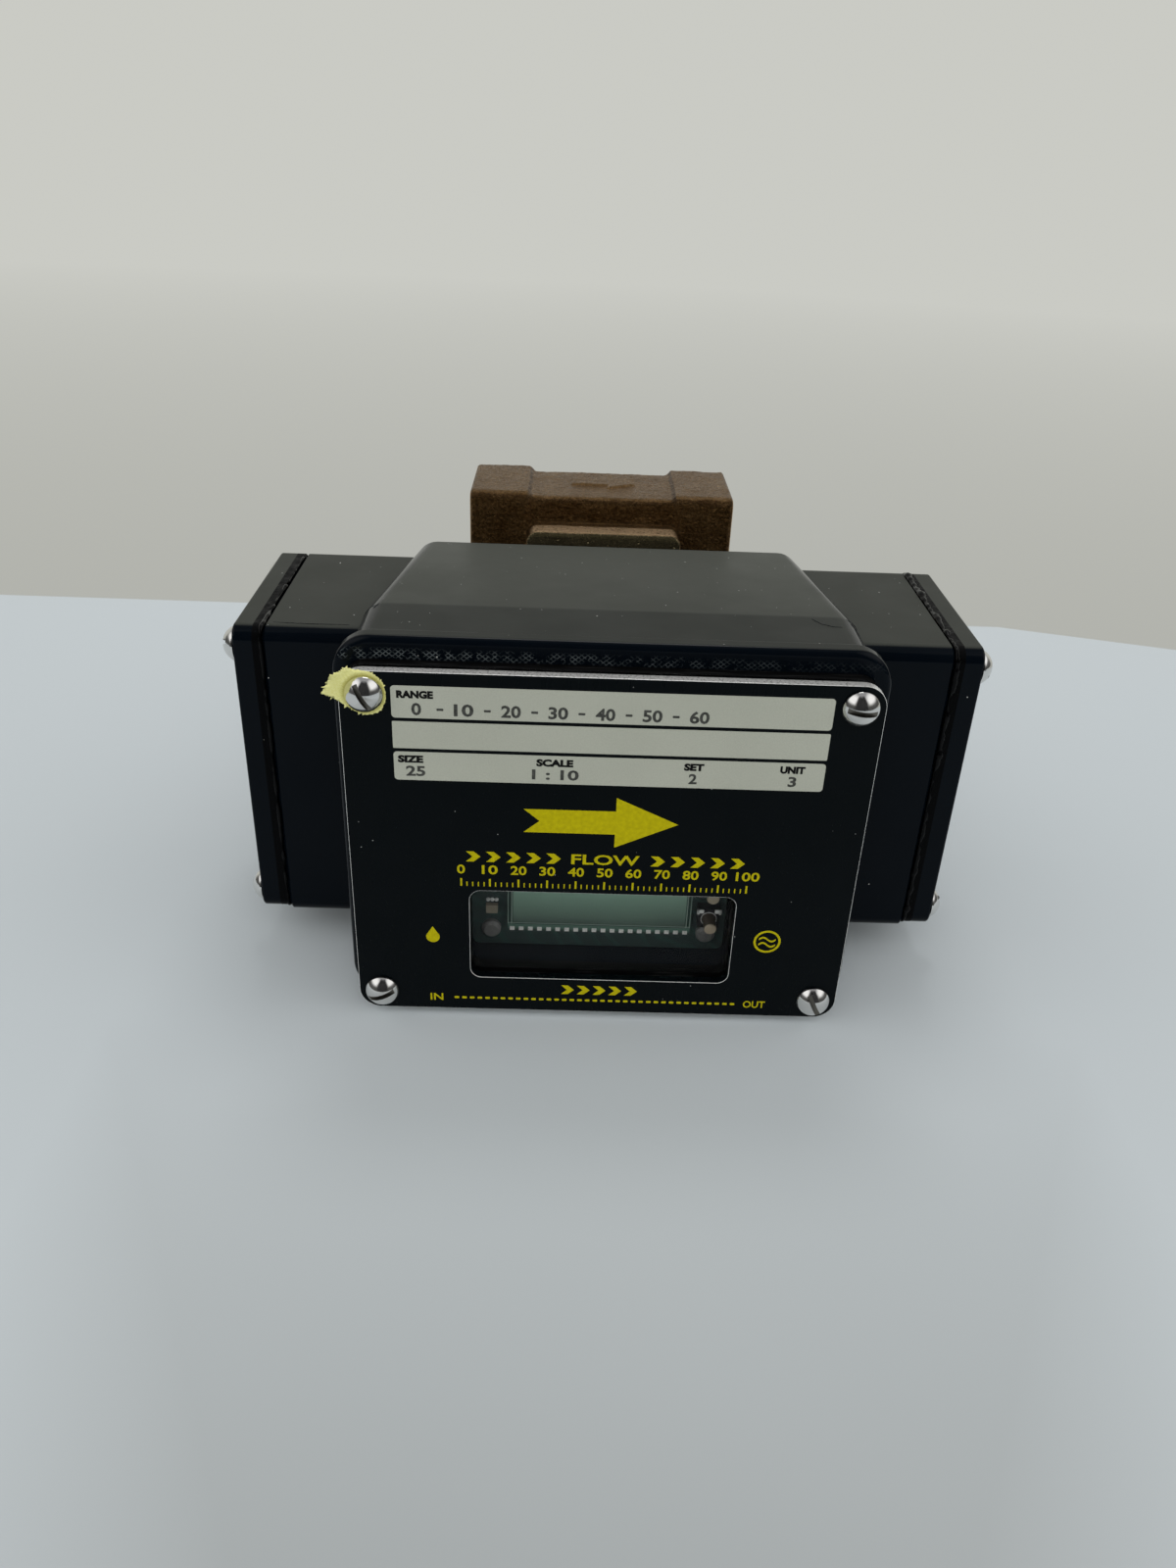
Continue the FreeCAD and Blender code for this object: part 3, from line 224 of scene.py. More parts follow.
# %% [markdown]
# ## Stage and light
# The object stands on a pale table in front of a pale wall. A standing wall would hide the object from
# behind, so one large ground carries both colours, with the table's far edge drawn where it is in the
# photograph. The light is a soft room with white panels at both sides and in front, which the camera doesn't
# see, and one oval lamp above. A dark card hangs before the front panel and fades out at its edges: chrome
# is only as lively as what it mirrors, and the card gives it a dark middle. Only mirrored rays see the card,
# so it takes no light away.

# %% Ground
EDGE_Y = 231.4
EDGE_BEND_X = 200.0
EDGE_SLOPE = 0.28
REACH = 40.0
WALL_COLOUR = (0.59, 0.595, 0.555)


def ray(tree, kind):
    """1 where the light path is of a kind, such as Camera, Glossy or Shadow."""
    return give(tree, "ShaderNodeLightPath", output=f"Is {kind} Ray")


ground_mesh = bpy.data.meshes.new("ground")
corners = [(-REACH, -REACH, 0), (REACH, -REACH, 0), (REACH, REACH, 0), (-REACH, REACH, 0)]
ground_mesh.from_pydata(corners, [], [(0, 1, 2, 3)])
ground = bpy.data.objects.new("ground", ground_mesh)
scene.collection.objects.link(ground)

ground_finish = Finish("table_and_wall", (0.48, 0.53, 0.54), 0.6, Specular_IOR_Level=0.0)
place = ground_finish.mm()
across, along, _ = place.axes()
beyond = along + ((across - EDGE_BEND_X) | 0) * EDGE_SLOPE
wall_share = beyond.to(EDGE_Y - 1, EDGE_Y + 1)
# Painted shadow: the table is darker near the camera in its middle, lighter far off and to the sides.
lit = along.to(-300, -70) | along.to(-900, -450, 1, 0) | abs(across).to(15, 130)
table = lit.mix((0.325, 0.34, 0.335), (0.585, 0.632, 0.653))
table = place.grain(160, 2).to(0.3, 0.7, 0, 0.12).mix(table, (0.60, 0.63, 0.64))
# Painted shade: the wall is darker near the table's edge. It glows for camera and mirrored rays.
wall = beyond.to(EDGE_Y, 1500).mix((0.445, 0.45, 0.415), WALL_COLOUR)
ground_finish.wear(wall_share.mix(table, wall))
tree = ground_finish.tree
seen = ray(tree, "Camera") | (ray(tree, "Glossy") | ray(tree, "Transmission"))
glow = give(tree, "ShaderNodeEmission", {"Color": wall, "Strength": 1.0})
ground_finish.swap(seen * wall_share, glow)
ground_mesh.materials.append(ground_finish.material)
print("ground", 2 * REACH, "m wide, table edge at", EDGE_Y, "mm")

# %% Sky dome
PANELS = ((-72, 40, 25, 1.15), (77, 38, 26, 1.15), (0, 40, 26, 1.7))
PANEL_FADE = 9


def toward(turn, climb):
    """The direction of a point in the room: degrees to the right of the front, and degrees up."""
    turn = math.radians(turn)
    climb = math.radians(climb)
    return math.cos(climb) * math.sin(turn), -math.cos(climb) * math.cos(turn), math.sin(climb)


world = bpy.data.worlds.new("soft_room")
scene.world = world
world.use_nodes = True
tree = world.node_tree
backdrop = tree.nodes["Background"]
direction = give(tree, "ShaderNodeTexCoord", output="Generated")
sky = direction.axes()[2].to(0.3, 0.9).mix(WALL_COLOUR, (0.34, 0.34, 0.35))
for turn, climb, reach, white in PANELS:
    ends = {0: direction, 1: toward(turn, climb)}
    near = give(tree, "ShaderNodeVectorMath", ends, "Value", operation="DOT_PRODUCT")
    inside = math.cos(math.radians(reach - PANEL_FADE))
    outside = math.cos(math.radians(reach + PANEL_FADE))
    sky = near.to(outside, inside).mix(sky, (white, white, white))
tree.links.new(ray(tree, "Camera").mix(sky, WALL_COLOUR).socket, backdrop.inputs["Color"])
backdrop.inputs["Strength"].default_value = 1.0
print("sky dome with", len(PANELS), "panels")

# %% Dark card
CARD_REACH = 1.5
TURNS = range(-125, 126, 5)
CLIMBS = range(1, 82, 4)


def ramp(value, low, high):
    """Goes smoothly from 0 at low to 1 at high."""
    share = max(0.0, min(1.0, (value - low) / (high - low)))
    return share * share * (3 - 2 * share)


card_points = []
card_veil = []
for turn in TURNS:
    for climb in CLIMBS:
        card_points.append(Vector(toward(turn, climb)) * CARD_REACH)
        column = ramp(abs(turn), 46, 30) * ramp(climb, 81, 66)
        skirt = 0.9 * ramp(abs(turn), 124, 100) * ramp(climb, 34, 16)
        card_veil.append(max(column, skirt))
rows = len(CLIMBS)
card_faces = []
for strip in range(len(TURNS) - 1):
    for level in range(rows - 1):
        near = strip * rows + level
        card_faces.append((near, near + rows, near + rows + 1, near + 1))
card_mesh = bpy.data.meshes.new("dark_card")
card_mesh.from_pydata(card_points, [], card_faces)
card_mesh.attributes.new("veil", "FLOAT", "POINT").data.foreach_set("value", card_veil)
cloth = Finish("dark_cloth", (0.03, 0.03, 0.035), 0.9)
nap = cloth.mm().grain(60, 3)
cloth.wear(nap.mix((0.022, 0.020, 0.022), (0.04, 0.037, 0.04)), alpha=cloth.mark("veil"))
card_mesh.materials.append(cloth.material)
card = bpy.data.objects.new("dark_card", card_mesh)
card.visible_camera = False
card.visible_diffuse = False
card.visible_shadow = False
scene.collection.objects.link(card)
print("card", len(card_faces), "faces")

# %% Lamp
LAMP_AT = Vector((0.03, 0.52, 1.25))
LAMP_TARGET = Vector((0, 0, 0.05))

lamp_data = bpy.data.lights.new("top_panel", "AREA")
lamp_data.shape = "ELLIPSE"
lamp_data.size = 0.55
lamp_data.size_y = 0.4
lamp_data.energy = 2.8
lamp = bpy.data.objects.new("top_panel", lamp_data)
lamp.location = LAMP_AT
lamp.visible_camera = False
lamp.rotation_euler = (LAMP_TARGET - LAMP_AT).to_track_quat("-Z", "Y").to_euler()
scene.collection.objects.link(lamp)
print("lamp", lamp.name, round((LAMP_TARGET - LAMP_AT).length, 2), "m away")


# %% [markdown]
# ## Black enamel
# The box is a casting with a thick, glossy black coat. Such paint is never flat: it has a fine orange peel,
# slow waves, dull smudges and a little dust, and a thin dull film has settled on its tops. All of it comes
# from noise at real sizes. The grey of the tops is partly that film and partly painted light: the tube's top
# is painted lighter, lighter still towards the back and darker on the front collar, as painted reflection,
# and low upward faces inside the window are painted slate, as a painted reflection of the board. The
# flange's front face shows a grey crossed weave in the coat, strongest at the left, so that pattern is added
# in that place only. Its grey is partly painted highlight, for the glints of the weave.

# %% Enamel finish
WEAVE_X = 1.45
WEAVE_Z = 1.15
FILM_LOW = 60
TUBE_LOW = 100
SILL_HIGH = 30
flange_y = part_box("housing")[0].y / MM
plate_top = plate_high.z / MM
collar_end = flange_y + 24.0

enamel = Finish("black_enamel", (0.001, 0.002, 0.004), 0.15, IOR=1.17)
place = enamel.mm()
x, y, z = place.axes()
_, facing_back, facing_up = enamel.facing()
smudge = place.grain(16, 3)
level = facing_up.to(0.92, 0.99)
film = level * (z > FILM_LOW)
marks = place.specks(4.2, 0.46, 0.33) | enamel.mm((1, 0.35, 1), (0, 0, 0.7)).specks(9, 0.4, 0.4)

strip = z.to(plate_top - 1.0, plate_top + 0.2) * z.to(plate_top + 1.2, plate_top + 2.6, 1, 0)
on_flange = (facing_back < -0.4) * (y < flange_y + 0.5) * strip
slant = x * (2 * math.pi / WEAVE_X)
climb = z * (2 * math.pi / WEAVE_Z)
rising = (slant + climb).step("SINE").to(0.55, 0.95)
falling = (slant - climb).step("SINE").to(0.55, 0.95)
patchy = place.grain(2.6, 4, 0.7).to(0.44, 0.58)
weave = (rising | falling) * (patchy * x.to(-35, 55, 1, 0.12)) * on_flange

# Dust film on the tops, partly painted light: the tube's top is painted lighter, as painted reflection.
dust_film_and_painted_light = smudge.mix((0.034, 0.037, 0.031), (0.046, 0.049, 0.042))
dust_film_and_painted_light = z.to(TUBE_LOW - 1, TUBE_LOW + 1, 0, 0.5).mix(dust_film_and_painted_light, (0.064, 0.068, 0.059))
on_tube = z > TUBE_LOW
# Painted reflection: lighter towards the back of the tube's top, darker on the front collar.
to_back = on_tube * y.to(collar_end + 4, 28, 0, 0.62)
to_front = on_tube * y.to(collar_end - 1, collar_end + 1, 0.55, 0)
dust_film_and_painted_light = to_front.mix(to_back.mix(dust_film_and_painted_light, (0.10, 0.106, 0.092)), (0.010, 0.012, 0.011))
coat = smudge.mix((0.0012, 0.0026, 0.0046), (0.0020, 0.0036, 0.006))
# Painted reflection: low upward faces inside the window take a slate colour, as if mirroring the board.
coat = (level * (z < SILL_HIGH)).mix(film.mix(coat, dust_film_and_painted_light), (0.009, 0.012, 0.016))
# The weave is a real pattern; its light grey is partly painted highlight, standing for its glints.
coat = weave.mix(coat, (0.10, 0.115, 0.12))
enamel.wear(marks.mix(coat, (0.50, 0.50, 0.48)), smudge.to(0.35, 0.72, 0.06, 0.18) + film * 0.34,
            (place.grain(30, 1), 0.16), (place.grain(2.4, 1), 0.012), (marks, 0.03), (weave, 0.02))
print("enamel weave about", round(plate_top + 1, 1), "mm up on the flange")


# %% [markdown]
# ## Metals, rubber and plastics
# The other finishes are shorter. Polished steel gets fine hair scratches, bare aluminium a satin grain,
# rubber a dull bloom with pale flecks, and moulded plastics a faint texture. Bronze comes later, because its
# shape and finish belong together.

# %% Steel and aluminium
steel = Finish("polished_steel", (0.72, 0.71, 0.69), 0.1, 1.0)
hair = steel.mm((9, 9, 0.7), (0.4, 0.5, 0.2)).grain(1.0, 2)
slot_for_painted_shade = steel.mark("slot")
pits = steel.mm().specks(1.3, 0.16, 0.35)
bright = pits.mix((0.72, 0.71, 0.69), (0.22, 0.21, 0.20))
# Painted shade: the slot's faces are darker, as the recess's shade.
steel.wear(slot_for_painted_shade.mix(bright, (0.17, 0.16, 0.14)), hair.to(0.3, 0.75, 0.05, 0.16) + slot_for_painted_shade * 0.3,
           (hair, 0.002), (pits, -0.015))

aluminium = Finish("bare_aluminium", (0.78, 0.78, 0.77), 0.3, 0.35)
nicks = aluminium.mm().grain(0.7, 3)
satin = nicks.mix((0.34, 0.34, 0.33), (0.50, 0.50, 0.49))
bare = nicks.mix((0.80, 0.80, 0.78), (0.95, 0.95, 0.93))
aluminium.wear(aluminium.facing()[2].to(0.9, 0.97).mix(bare, satin), nicks.to(0.3, 0.7, 0.22, 0.38),
               (nicks, 0.008))
print("bright metals", steel.material.name, aluminium.material.name)


# %% Metals of one grain
def one_grain(name, colour, roughness, metallic, size, detail, stretch=(1, 1, 1), tones=None, shine=None,
              depth=0):
    """A finish of one noise, which may set two tones, a range of roughness and a bump."""
    made = Finish(name, colour, roughness, metallic)
    marks = made.mm(stretch).grain(size, detail)
    tone = marks.mix(*tones) if tones else None
    dull = marks.to(0.3, 0.7, *shine) if shine else None
    layers = [(marks, depth)] if depth else []
    made.wear(tone, dull, *layers)
    return made


zinc = one_grain("dull_zinc", (0.40, 0.40, 0.39), 0.5, 0.6, 0.9, 3,
                 tones=((0.20, 0.20, 0.195), (0.44, 0.44, 0.43)), shine=(0.3, 0.6), depth=0.02)
tin = one_grain("tinned_metal", (0.85, 0.85, 0.83), 0.35, 0.2, 0.8, 3,
                tones=((0.72, 0.72, 0.70), (0.93, 0.93, 0.91)), shine=(0.22, 0.45), depth=0.01)
turned_steel = one_grain("turned_steel", (0.55, 0.55, 0.54), 0.25, 1.0, 1.0, 2, (0.2, 12, 0.2),
                         shine=(0.18, 0.36), depth=0.006)
brass = one_grain("standoff_brass", (0.70, 0.52, 0.24), 0.3, 1.0, 1.0, 2, (6, 0.3, 6),
                  ((0.58, 0.41, 0.18), (0.78, 0.60, 0.31)), (0.22, 0.42))
BRONZE_TONES = ((0.36, 0.22, 0.10), (0.60, 0.40, 0.20))
bush_bronze = one_grain("bush_bronze", (0.52, 0.33, 0.16), 0.35, 1.0, 0.35, 3, tones=BRONZE_TONES,
                        depth=0.015)
alloy = one_grain("carrier_alloy", (0.66, 0.66, 0.67), 0.3, 1.0, 1.0, 2, (3, 14, 3), shine=(0.2, 0.42),
                  depth=0.008)
nickel = one_grain("magnet_nickel", (0.60, 0.58, 0.54), 0.14, 1.0, 1.6, 2, shine=(0.1, 0.24))
metals = (zinc, tin, turned_steel, brass, bush_bronze, alloy, nickel)
print("metals", [metal.material.name for metal in metals])

# %% Rubber and plastics
rubber = Finish("black_rubber", (0.0015, 0.0015, 0.0017), 0.5, IOR=1.12)
place = rubber.mm()
bloom = place.grain(2.2, 4)
body = bloom.mix((0.0006, 0.0007, 0.0009), (0.0022, 0.0024, 0.0028))
rubber.wear(place.specks(2.1, 0.34, 0.16).mix(body, (0.24, 0.23, 0.20)), bloom.to(0.3, 0.7, 0.3, 0.6),
            (place.grain(0.9, 3), 0.12))

seal_rubber = Finish("window_gasket", (0.002, 0.002, 0.0022), 0.55, IOR=1.2)
lines = seal_rubber.mm((0.04, 1, 1)).grain(0.5, 1)
seal_rubber.wear(lines.to(0.62, 0.7).mix((0.0015, 0.0015, 0.0017), (0.02, 0.02, 0.02)), None, (lines, 0.02))


def plastic(name, colour, shade, roughness, size):
    """A moulded plastic: two close colours in soft clouds, and a fine spark texture."""
    made = Finish(name, colour, roughness)
    place = made.mm()
    clouds = place.grain(size, 2)
    dull = clouds.to(0.3, 0.7, roughness - 0.06, roughness + 0.1)
    made.wear(clouds.mix(shade, colour), dull, (place.grain(0.25, 2), 0.006))
    return made


switch_case = plastic("switch_case", (0.020, 0.020, 0.022), (0.012, 0.012, 0.013), 0.4, 1.5)
button_tan = plastic("button_stem", (0.085, 0.065, 0.045), (0.06, 0.045, 0.03), 0.4, 1.2)
terminal_green = plastic("terminal_plastic", (0.03, 0.17, 0.07), (0.02, 0.12, 0.05), 0.42, 3.0)
chip_black = plastic("chip_body", (0.018, 0.018, 0.019), (0.010, 0.010, 0.011), 0.5, 0.8)
chip_tan = plastic("chip_tan", (0.30, 0.27, 0.21), (0.22, 0.19, 0.14), 0.5, 0.6)
print("rubbers and plastics ready")

# %% Circuit board
board = Finish("board_mask", (0.027, 0.047, 0.043), 0.3)
place = board.mm()
waves = {"Vector": place, "Scale": 0.09, "Distortion": 9.0, "Detail": 1.0}
tracks = give(board.tree, "ShaderNodeTexWave", waves, "Fac", bands_direction="DIAGONAL").to(0.80, 0.86)
glass_weave = place.grain(0.5, 1)
mask = glass_weave.mix((0.026, 0.043, 0.041), (0.037, 0.057, 0.055))
board.wear(tracks.mix(mask, (0.034, 0.066, 0.058)), None, (tracks, 0.03), (glass_weave, 0.006))
print("board finish", board.material.name)


# %% [markdown]
# ## Clear sheet
# Behind the plate lies a clear plastic sheet, seen in the window. It is real glass for the eye, but a glass
# shader stops lamp light from reaching the display and leaves bright grains in the dark behind it, so for
# shadow rays and for light that has already bounced the sheet is simply transparent.

# %% Clear sheet finish
CUT_EDGE = 0.2
clear = Finish("clear_sheet", (0.96, 0.98, 0.97), 0.0, IOR=1.15, Transmission_Weight=1.0)
x, _, z = clear.mm().axes()
half_width = (plate_high.x - plate_low.x) / 2 / MM
cut_side = abs(x - (plate_low.x / MM + half_width)).to(half_width - CUT_EDGE, half_width)
cut_top = z.to(plate_top - CUT_EDGE, plate_top)
tint = clear.mm().grain(7, 3).mix((0.90, 0.93, 0.92), (0.98, 0.99, 0.985))
clear.wear((cut_side | cut_top).mix(tint, (0.004, 0.004, 0.005)))
tree = clear.tree
bounced = (ray(tree, "Diffuse") | ray(tree, "Glossy")) * ray(tree, "Transmission").to(0, 1, 1, 0)
clear.swap(ray(tree, "Shadow") | bounced, give(tree, "ShaderNodeBsdfTransparent"))
sheet_low, sheet_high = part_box("window_sheet")
print("clear sheet", round((sheet_high.y - sheet_low.y) / MM, 2), "mm thick")


# %% [markdown]
# ## Front plate
# The plate is black enamel on aluminium, cut after it was painted, so its outer sides are bare and a thin
# bright line runs round its face and round the window. The solid has sharp edges. A copy of it is merged,
# its flat faces are joined, and a small bevel is run along the front edges: the bevel and the outer sides
# then take the bare metal. A painted line would be quicker, but a real bevel catches light from the side.

# %% Plate finish
plate_paint = Finish("plate_enamel", (0.0012, 0.0024, 0.003), 0.22, IOR=1.17)
place = plate_paint.mm()
film = place.grain(9, 4)
wipe = plate_paint.mm((1, 1, 0.12), (0, 0.5, 0)).grain(2.0, 3)
dust = place.specks(3.4, 0.34, 0.35)
coat = film.mix((0.0008, 0.0020, 0.0027), (0.0016, 0.0030, 0.0040))
plate_paint.wear(dust.mix(coat, (0.38, 0.39, 0.38)), (film * wipe).to(0.1, 0.4, 0.16, 0.4),
                 (place.grain(3.0, 1), 0.006), (dust, 0.02))
print("plate finish", plate_paint.material.name)


# %% Merged copy of a solid
def merged_copy(node, name):
    """A bmesh of a CAD node with its loose triangles welded and its flat faces joined."""
    source = frame["nodes"][node].data
    plain = bpy.data.meshes.new(name)
    plain.from_pydata([v.co for v in source.vertices], [], [p.vertices[:] for p in source.polygons])
    edit = bmesh.new()
    edit.from_mesh(plain)
    bmesh.ops.remove_doubles(edit, verts=edit.verts, dist=1e-6)
    bmesh.ops.dissolve_limit(edit, angle_limit=math.radians(0.6), verts=edit.verts, edges=edit.edges)
    return edit, plain


def settle(name, mesh, *finishes):
    """Makes an object of a mesh, at the origin, with its finishes."""
    made = bpy.data.objects.new(name, mesh)
    scene.collection.objects.link(made)
    for finish in finishes:
        mesh.materials.append(finish.material)
    print(name, len(mesh.polygons), "faces")
    return made


edit, plate_mesh = merged_copy("front_plate", "plate_with_bare_edges")
print("plate copy", len(edit.faces), "faces after merging")

# %% Plate with bare edges
EDGE_BEVEL = 0.3 * MM
WINDOW_HALF = 40 * MM
BELOW_WINDOW = 5 * MM
ABOVE_WINDOW = 40 * MM
front_edges = []
for edge in edit.edges:
    on_front = all(abs(v.co.y - plate_low.y) < 1e-6 for v in edge.verts)
    if on_front and len(edge.link_faces) == 2 and edge.calc_face_angle() > 1.0:
        front_edges.append(edge)
bmesh.ops.bevel(edit, geom=front_edges, offset=EDGE_BEVEL, offset_type="OFFSET", segments=2, profile=0.5,
                affect="EDGES", clamp_overlap=True)
for face in edit.faces:
    middle = face.calc_center_median()
    level = plate_low.z + BELOW_WINDOW < middle.z < plate_high.z - ABOVE_WINDOW
    in_window = level and abs(middle.x) < WINDOW_HALF
    painted = face.normal.y < -0.999 or (in_window and abs(face.normal.y) < 0.05)
    face.material_index = 0 if painted else 1
    face.smooth = False
bmesh.ops.triangulate(edit, faces=edit.faces)
edit.to_mesh(plate_mesh)
edit.free()
plate = settle("plate_with_bare_edges", plate_mesh, plate_paint, aluminium)
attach(plate, "case")
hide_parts("front_plate")


# %% [markdown]
# ## Label block and print
# The upper part of the plate has a block of bare, finely grained silver in three rows, and the rest carries
# yellow print. Here the fields keep their places, sizes and colours, and hold plain numbers and simple
# flow signs. Each is a thin solid on the plate: a painted texture would need a picture, and thin solids stay
# sharp at any distance.

# %% Ink and label finishes
silver = Finish("label_silver", (0.50, 0.505, 0.44), 0.42, 0.3)
place = silver.mm()
sand = place.grain(0.22, 2)
tone = place.grain(22, 2).mix((0.51, 0.52, 0.435), (0.595, 0.605, 0.51))
silver.wear(sand.to(0.25, 0.75, 0, 0.34).mix(tone, (0.24, 0.24, 0.215)), sand.to(0.3, 0.7, 0.34, 0.52),
            (sand, 0.008))


def ink(name, colour, shade):
    """Printing ink: slightly uneven in colour, half glossy."""
    made = Finish(name, colour, 0.38, IOR=1.15)
    uneven = made.mm().grain(1.1, 4)
    made.wear(uneven.to(0.35, 0.75).mix(colour, shade), uneven.to(0.3, 0.7, 0.3, 0.5))
    return made


yellow = ink("yellow_ink", (0.52, 0.455, 0.004), (0.40, 0.345, 0.003))
black_ink = ink("black_ink", (0.004, 0.004, 0.004), (0.012, 0.012, 0.012))
grey_ink = ink("stamped_grey", (0.040, 0.042, 0.038), (0.09, 0.09, 0.083))
print("inks ready")

# %% Flat shapes on the plate
PRINT_THICK = 0.03


def extrude(edit, face, offset):
    """Draws a face out into a solid."""
    grown = bmesh.ops.extrude_face_region(edit, geom=[face])
    for part in grown["geom"]:
        if isinstance(part, bmesh.types.BMVert):
            part.co += offset


def close(edit, name, smooth=lambda face: False):
    """Turns the faces of a bmesh outward and ends it as a mesh."""
    bmesh.ops.recalc_face_normals(edit, faces=edit.faces)
    for face in edit.faces:
        face.smooth = smooth(face)
    mesh = bpy.data.meshes.new(name)
    edit.to_mesh(mesh)
    edit.free()
    return mesh


def on_plate(points, lift=0.0):
    """A thin solid on the plate's face from (x, height) points, anticlockwise."""
    edit = bmesh.new()
    front = plate_low.y - (lift + PRINT_THICK) * MM
    face = edit.faces.new([edit.verts.new((x * MM, front, plate_low.z + z * MM)) for x, z in points])
    extrude(edit, face, Vector((0, PRINT_THICK * MM, 0)))
    return close(edit, "print")


print("print is", PRINT_THICK, "mm thick")


# %% Outlines for the print
def arc(cx, cz, radius, start, sweep, steps):
    """Points along an arc, with its angles in degrees."""
    turns = [math.radians(start + sweep * step / steps) for step in range(steps + 1)]
    return [(cx + radius * math.cos(turn), cz + radius * math.sin(turn)) for turn in turns]


def rounded(x0, z0, x1, z1, radius, steps=6):
    """The outline of a rounded rectangle, anticlockwise."""
    points = []
    for cx, cz, start in ((x1 - radius, z0 + radius, -90), (x1 - radius, z1 - radius, 0),
                          (x0 + radius, z1 - radius, 90), (x0 + radius, z0 + radius, 180)):
        points += arc(cx, cz, radius, start, 90, steps)
    return points


print("a rounded field has", len(rounded(0, 0, 4, 2, 0.5)), "points")


# %% Silver label block in three rows
def printed(name, meshes, finish):
    """Joins the meshes of one colour into a piece that rides on the plate."""
    edit = bmesh.new()
    for mesh in meshes:
        edit.from_mesh(mesh)
        bpy.data.meshes.remove(mesh)
    for face in edit.faces:
        face.material_index = 0
        face.smooth = False
    joined = bpy.data.meshes.new(name)
    edit.to_mesh(joined)
    edit.free()
    piece = settle(name, joined, finish)
    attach(piece, "case")


LABEL_HALF = 51.4
ROWS = ((86.75, 95.0, 0.9), (78.75, 85.85, 0.3), (70.2, 77.85, 0.9))
fields = [on_plate(rounded(-LABEL_HALF, low, LABEL_HALF, high, corner)) for low, high, corner in ROWS]
printed("label_fields", fields, silver)


# %% Headings on the label
def lettering(words, left, right, base, top, bold, lift=0.0):
    """Letters fitted to a box on the plate, as a thin solid."""
    curve = bpy.data.curves.new("letters", "FONT")
    curve.body = words
    curve.offset = bold
    curve.extrude = 0.5
    curve.resolution_u = 3
    holder = bpy.data.objects.new("letters", curve)
    scene.collection.objects.link(holder)
    shaped = holder.evaluated_get(bpy.context.evaluated_depsgraph_get())
    mesh = bpy.data.meshes.new_from_object(shaped)
    bpy.data.objects.remove(holder)
    low = [min(v.co[axis] for v in mesh.vertices) for axis in range(3)]
    high = [max(v.co[axis] for v in mesh.vertices) for axis in range(3)]
    wide = (right - left) / (high[0] - low[0])
    tall = (top - base) / (high[1] - low[1])
    for vert in mesh.vertices:
        x = left + (vert.co.x - low[0]) * wide
        z = base + (vert.co.y - low[1]) * tall
        depth = PRINT_THICK * (vert.co.z - low[2]) / (high[2] - low[2]) + lift
        vert.co = (x * MM, plate_low.y - depth * MM, plate_low.z + z * MM)
    return mesh


ON_LABEL = PRINT_THICK
HEADINGS = (("RANGE", -50.1, -41.6, 91.8), ("SIZE", -50.4, -44.4, 74.9), ("SCALE", -17.6, -8.8, 74.9),
            ("SET", 17.6, 22.4, 74.9), ("UNIT", 40.6, 46.6, 74.9))
HEADING_TALL = 2.0
headings = []
for words, left, right, base in HEADINGS:
    headings.append(lettering(words, left, right, base, base + HEADING_TALL, 0.06, ON_LABEL))
printed("label_headings", headings, black_ink)

# %% Stamped numbers on the label
STAMP_START = -45.6
STAMP_PITCH = 10.974
SINGLES = (("25", -48.6, -44.0), ("1 : 10", -18.6, -7.4), ("2", 18.9, 20.9), ("3", 42.8, 44.8))
stamps = []
for index in range(7):
    centre = STAMP_START + STAMP_PITCH * index
    words = str(10 * index)
    half = 1.15 * len(words)
    stamps.append(lettering(words, centre - half, centre + half, 87.5, 90.7, 0.03, ON_LABEL))
    if index < 6:
        dash = centre + STAMP_PITCH / 2
        stamps.append(on_plate(rounded(dash - 0.8, 88.8, dash + 0.8, 89.4, 0.15, 2), ON_LABEL))
for words, left, right in SINGLES:
    stamps.append(lettering(words, left, right, 71.3, 74.1, 0.03, ON_LABEL))
printed("label_stamps", stamps, grey_ink)


# %% Yellow flow signs
def chevron(x, base, top, reach):
    """A chevron that points to the right."""
    middle = (base + top) / 2
    return on_plate([(x - reach, base), (x + 0.2, base), (x + reach + 0.2, middle), (x + 0.2, top),
                     (x - reach, top), (x - 0.1, middle)])


SCALE_STEP = 7.2
TICK_BASE = 39.9
signs = [on_plate([(-20.5, 56.4), (2.0, 56.4), (2.0, 52.6), (17.4, 59.7), (2.0, 66.8), (2.0, 63.0),
                   (-20.5, 63.0), (-16.6, 59.7)])]
signs.append(lettering("FLOW", -8.5, 8.5, 47.3, 50.3, 0.02))
for side in (-1, 1):
    for step in range(5):
        signs.append(chevron(side * (13.0 + 5.0 * step), 47.3, 50.3, 1.7))
for index in range(11):
    x = SCALE_STEP * (index - 5)
    words = str(10 * index)
    half = len(words)
    signs.append(lettering(words, x - half, x + half, 43.6, 46.3, 0.02))
for index in range(51):
    x = SCALE_STEP * (index / 5 - 5)
    top, wide = (42.2, 0.24) if index % 5 == 0 else (41.2, 0.15)
    signs.append(on_plate([(x - wide, TICK_BASE), (x + wide, TICK_BASE), (x + wide, top), (x - wide, top)]))
printed("yellow_scale", signs, yellow)


# %% Small yellow signs beside and under the window
def wave_band(x0, x1, z, height, thick, steps=24):
    """A flat band that waves once along its length."""
    upper = []
    lower = []
    for index in range(steps + 1):
        share = index / steps
        x = x0 + (x1 - x0) * share
        middle = z + height * math.sin(2 * math.pi * share)
        upper.append((x, middle + thick / 2))
        lower.append((x, middle - thick / 2))
    return on_plate(lower + upper[::-1])


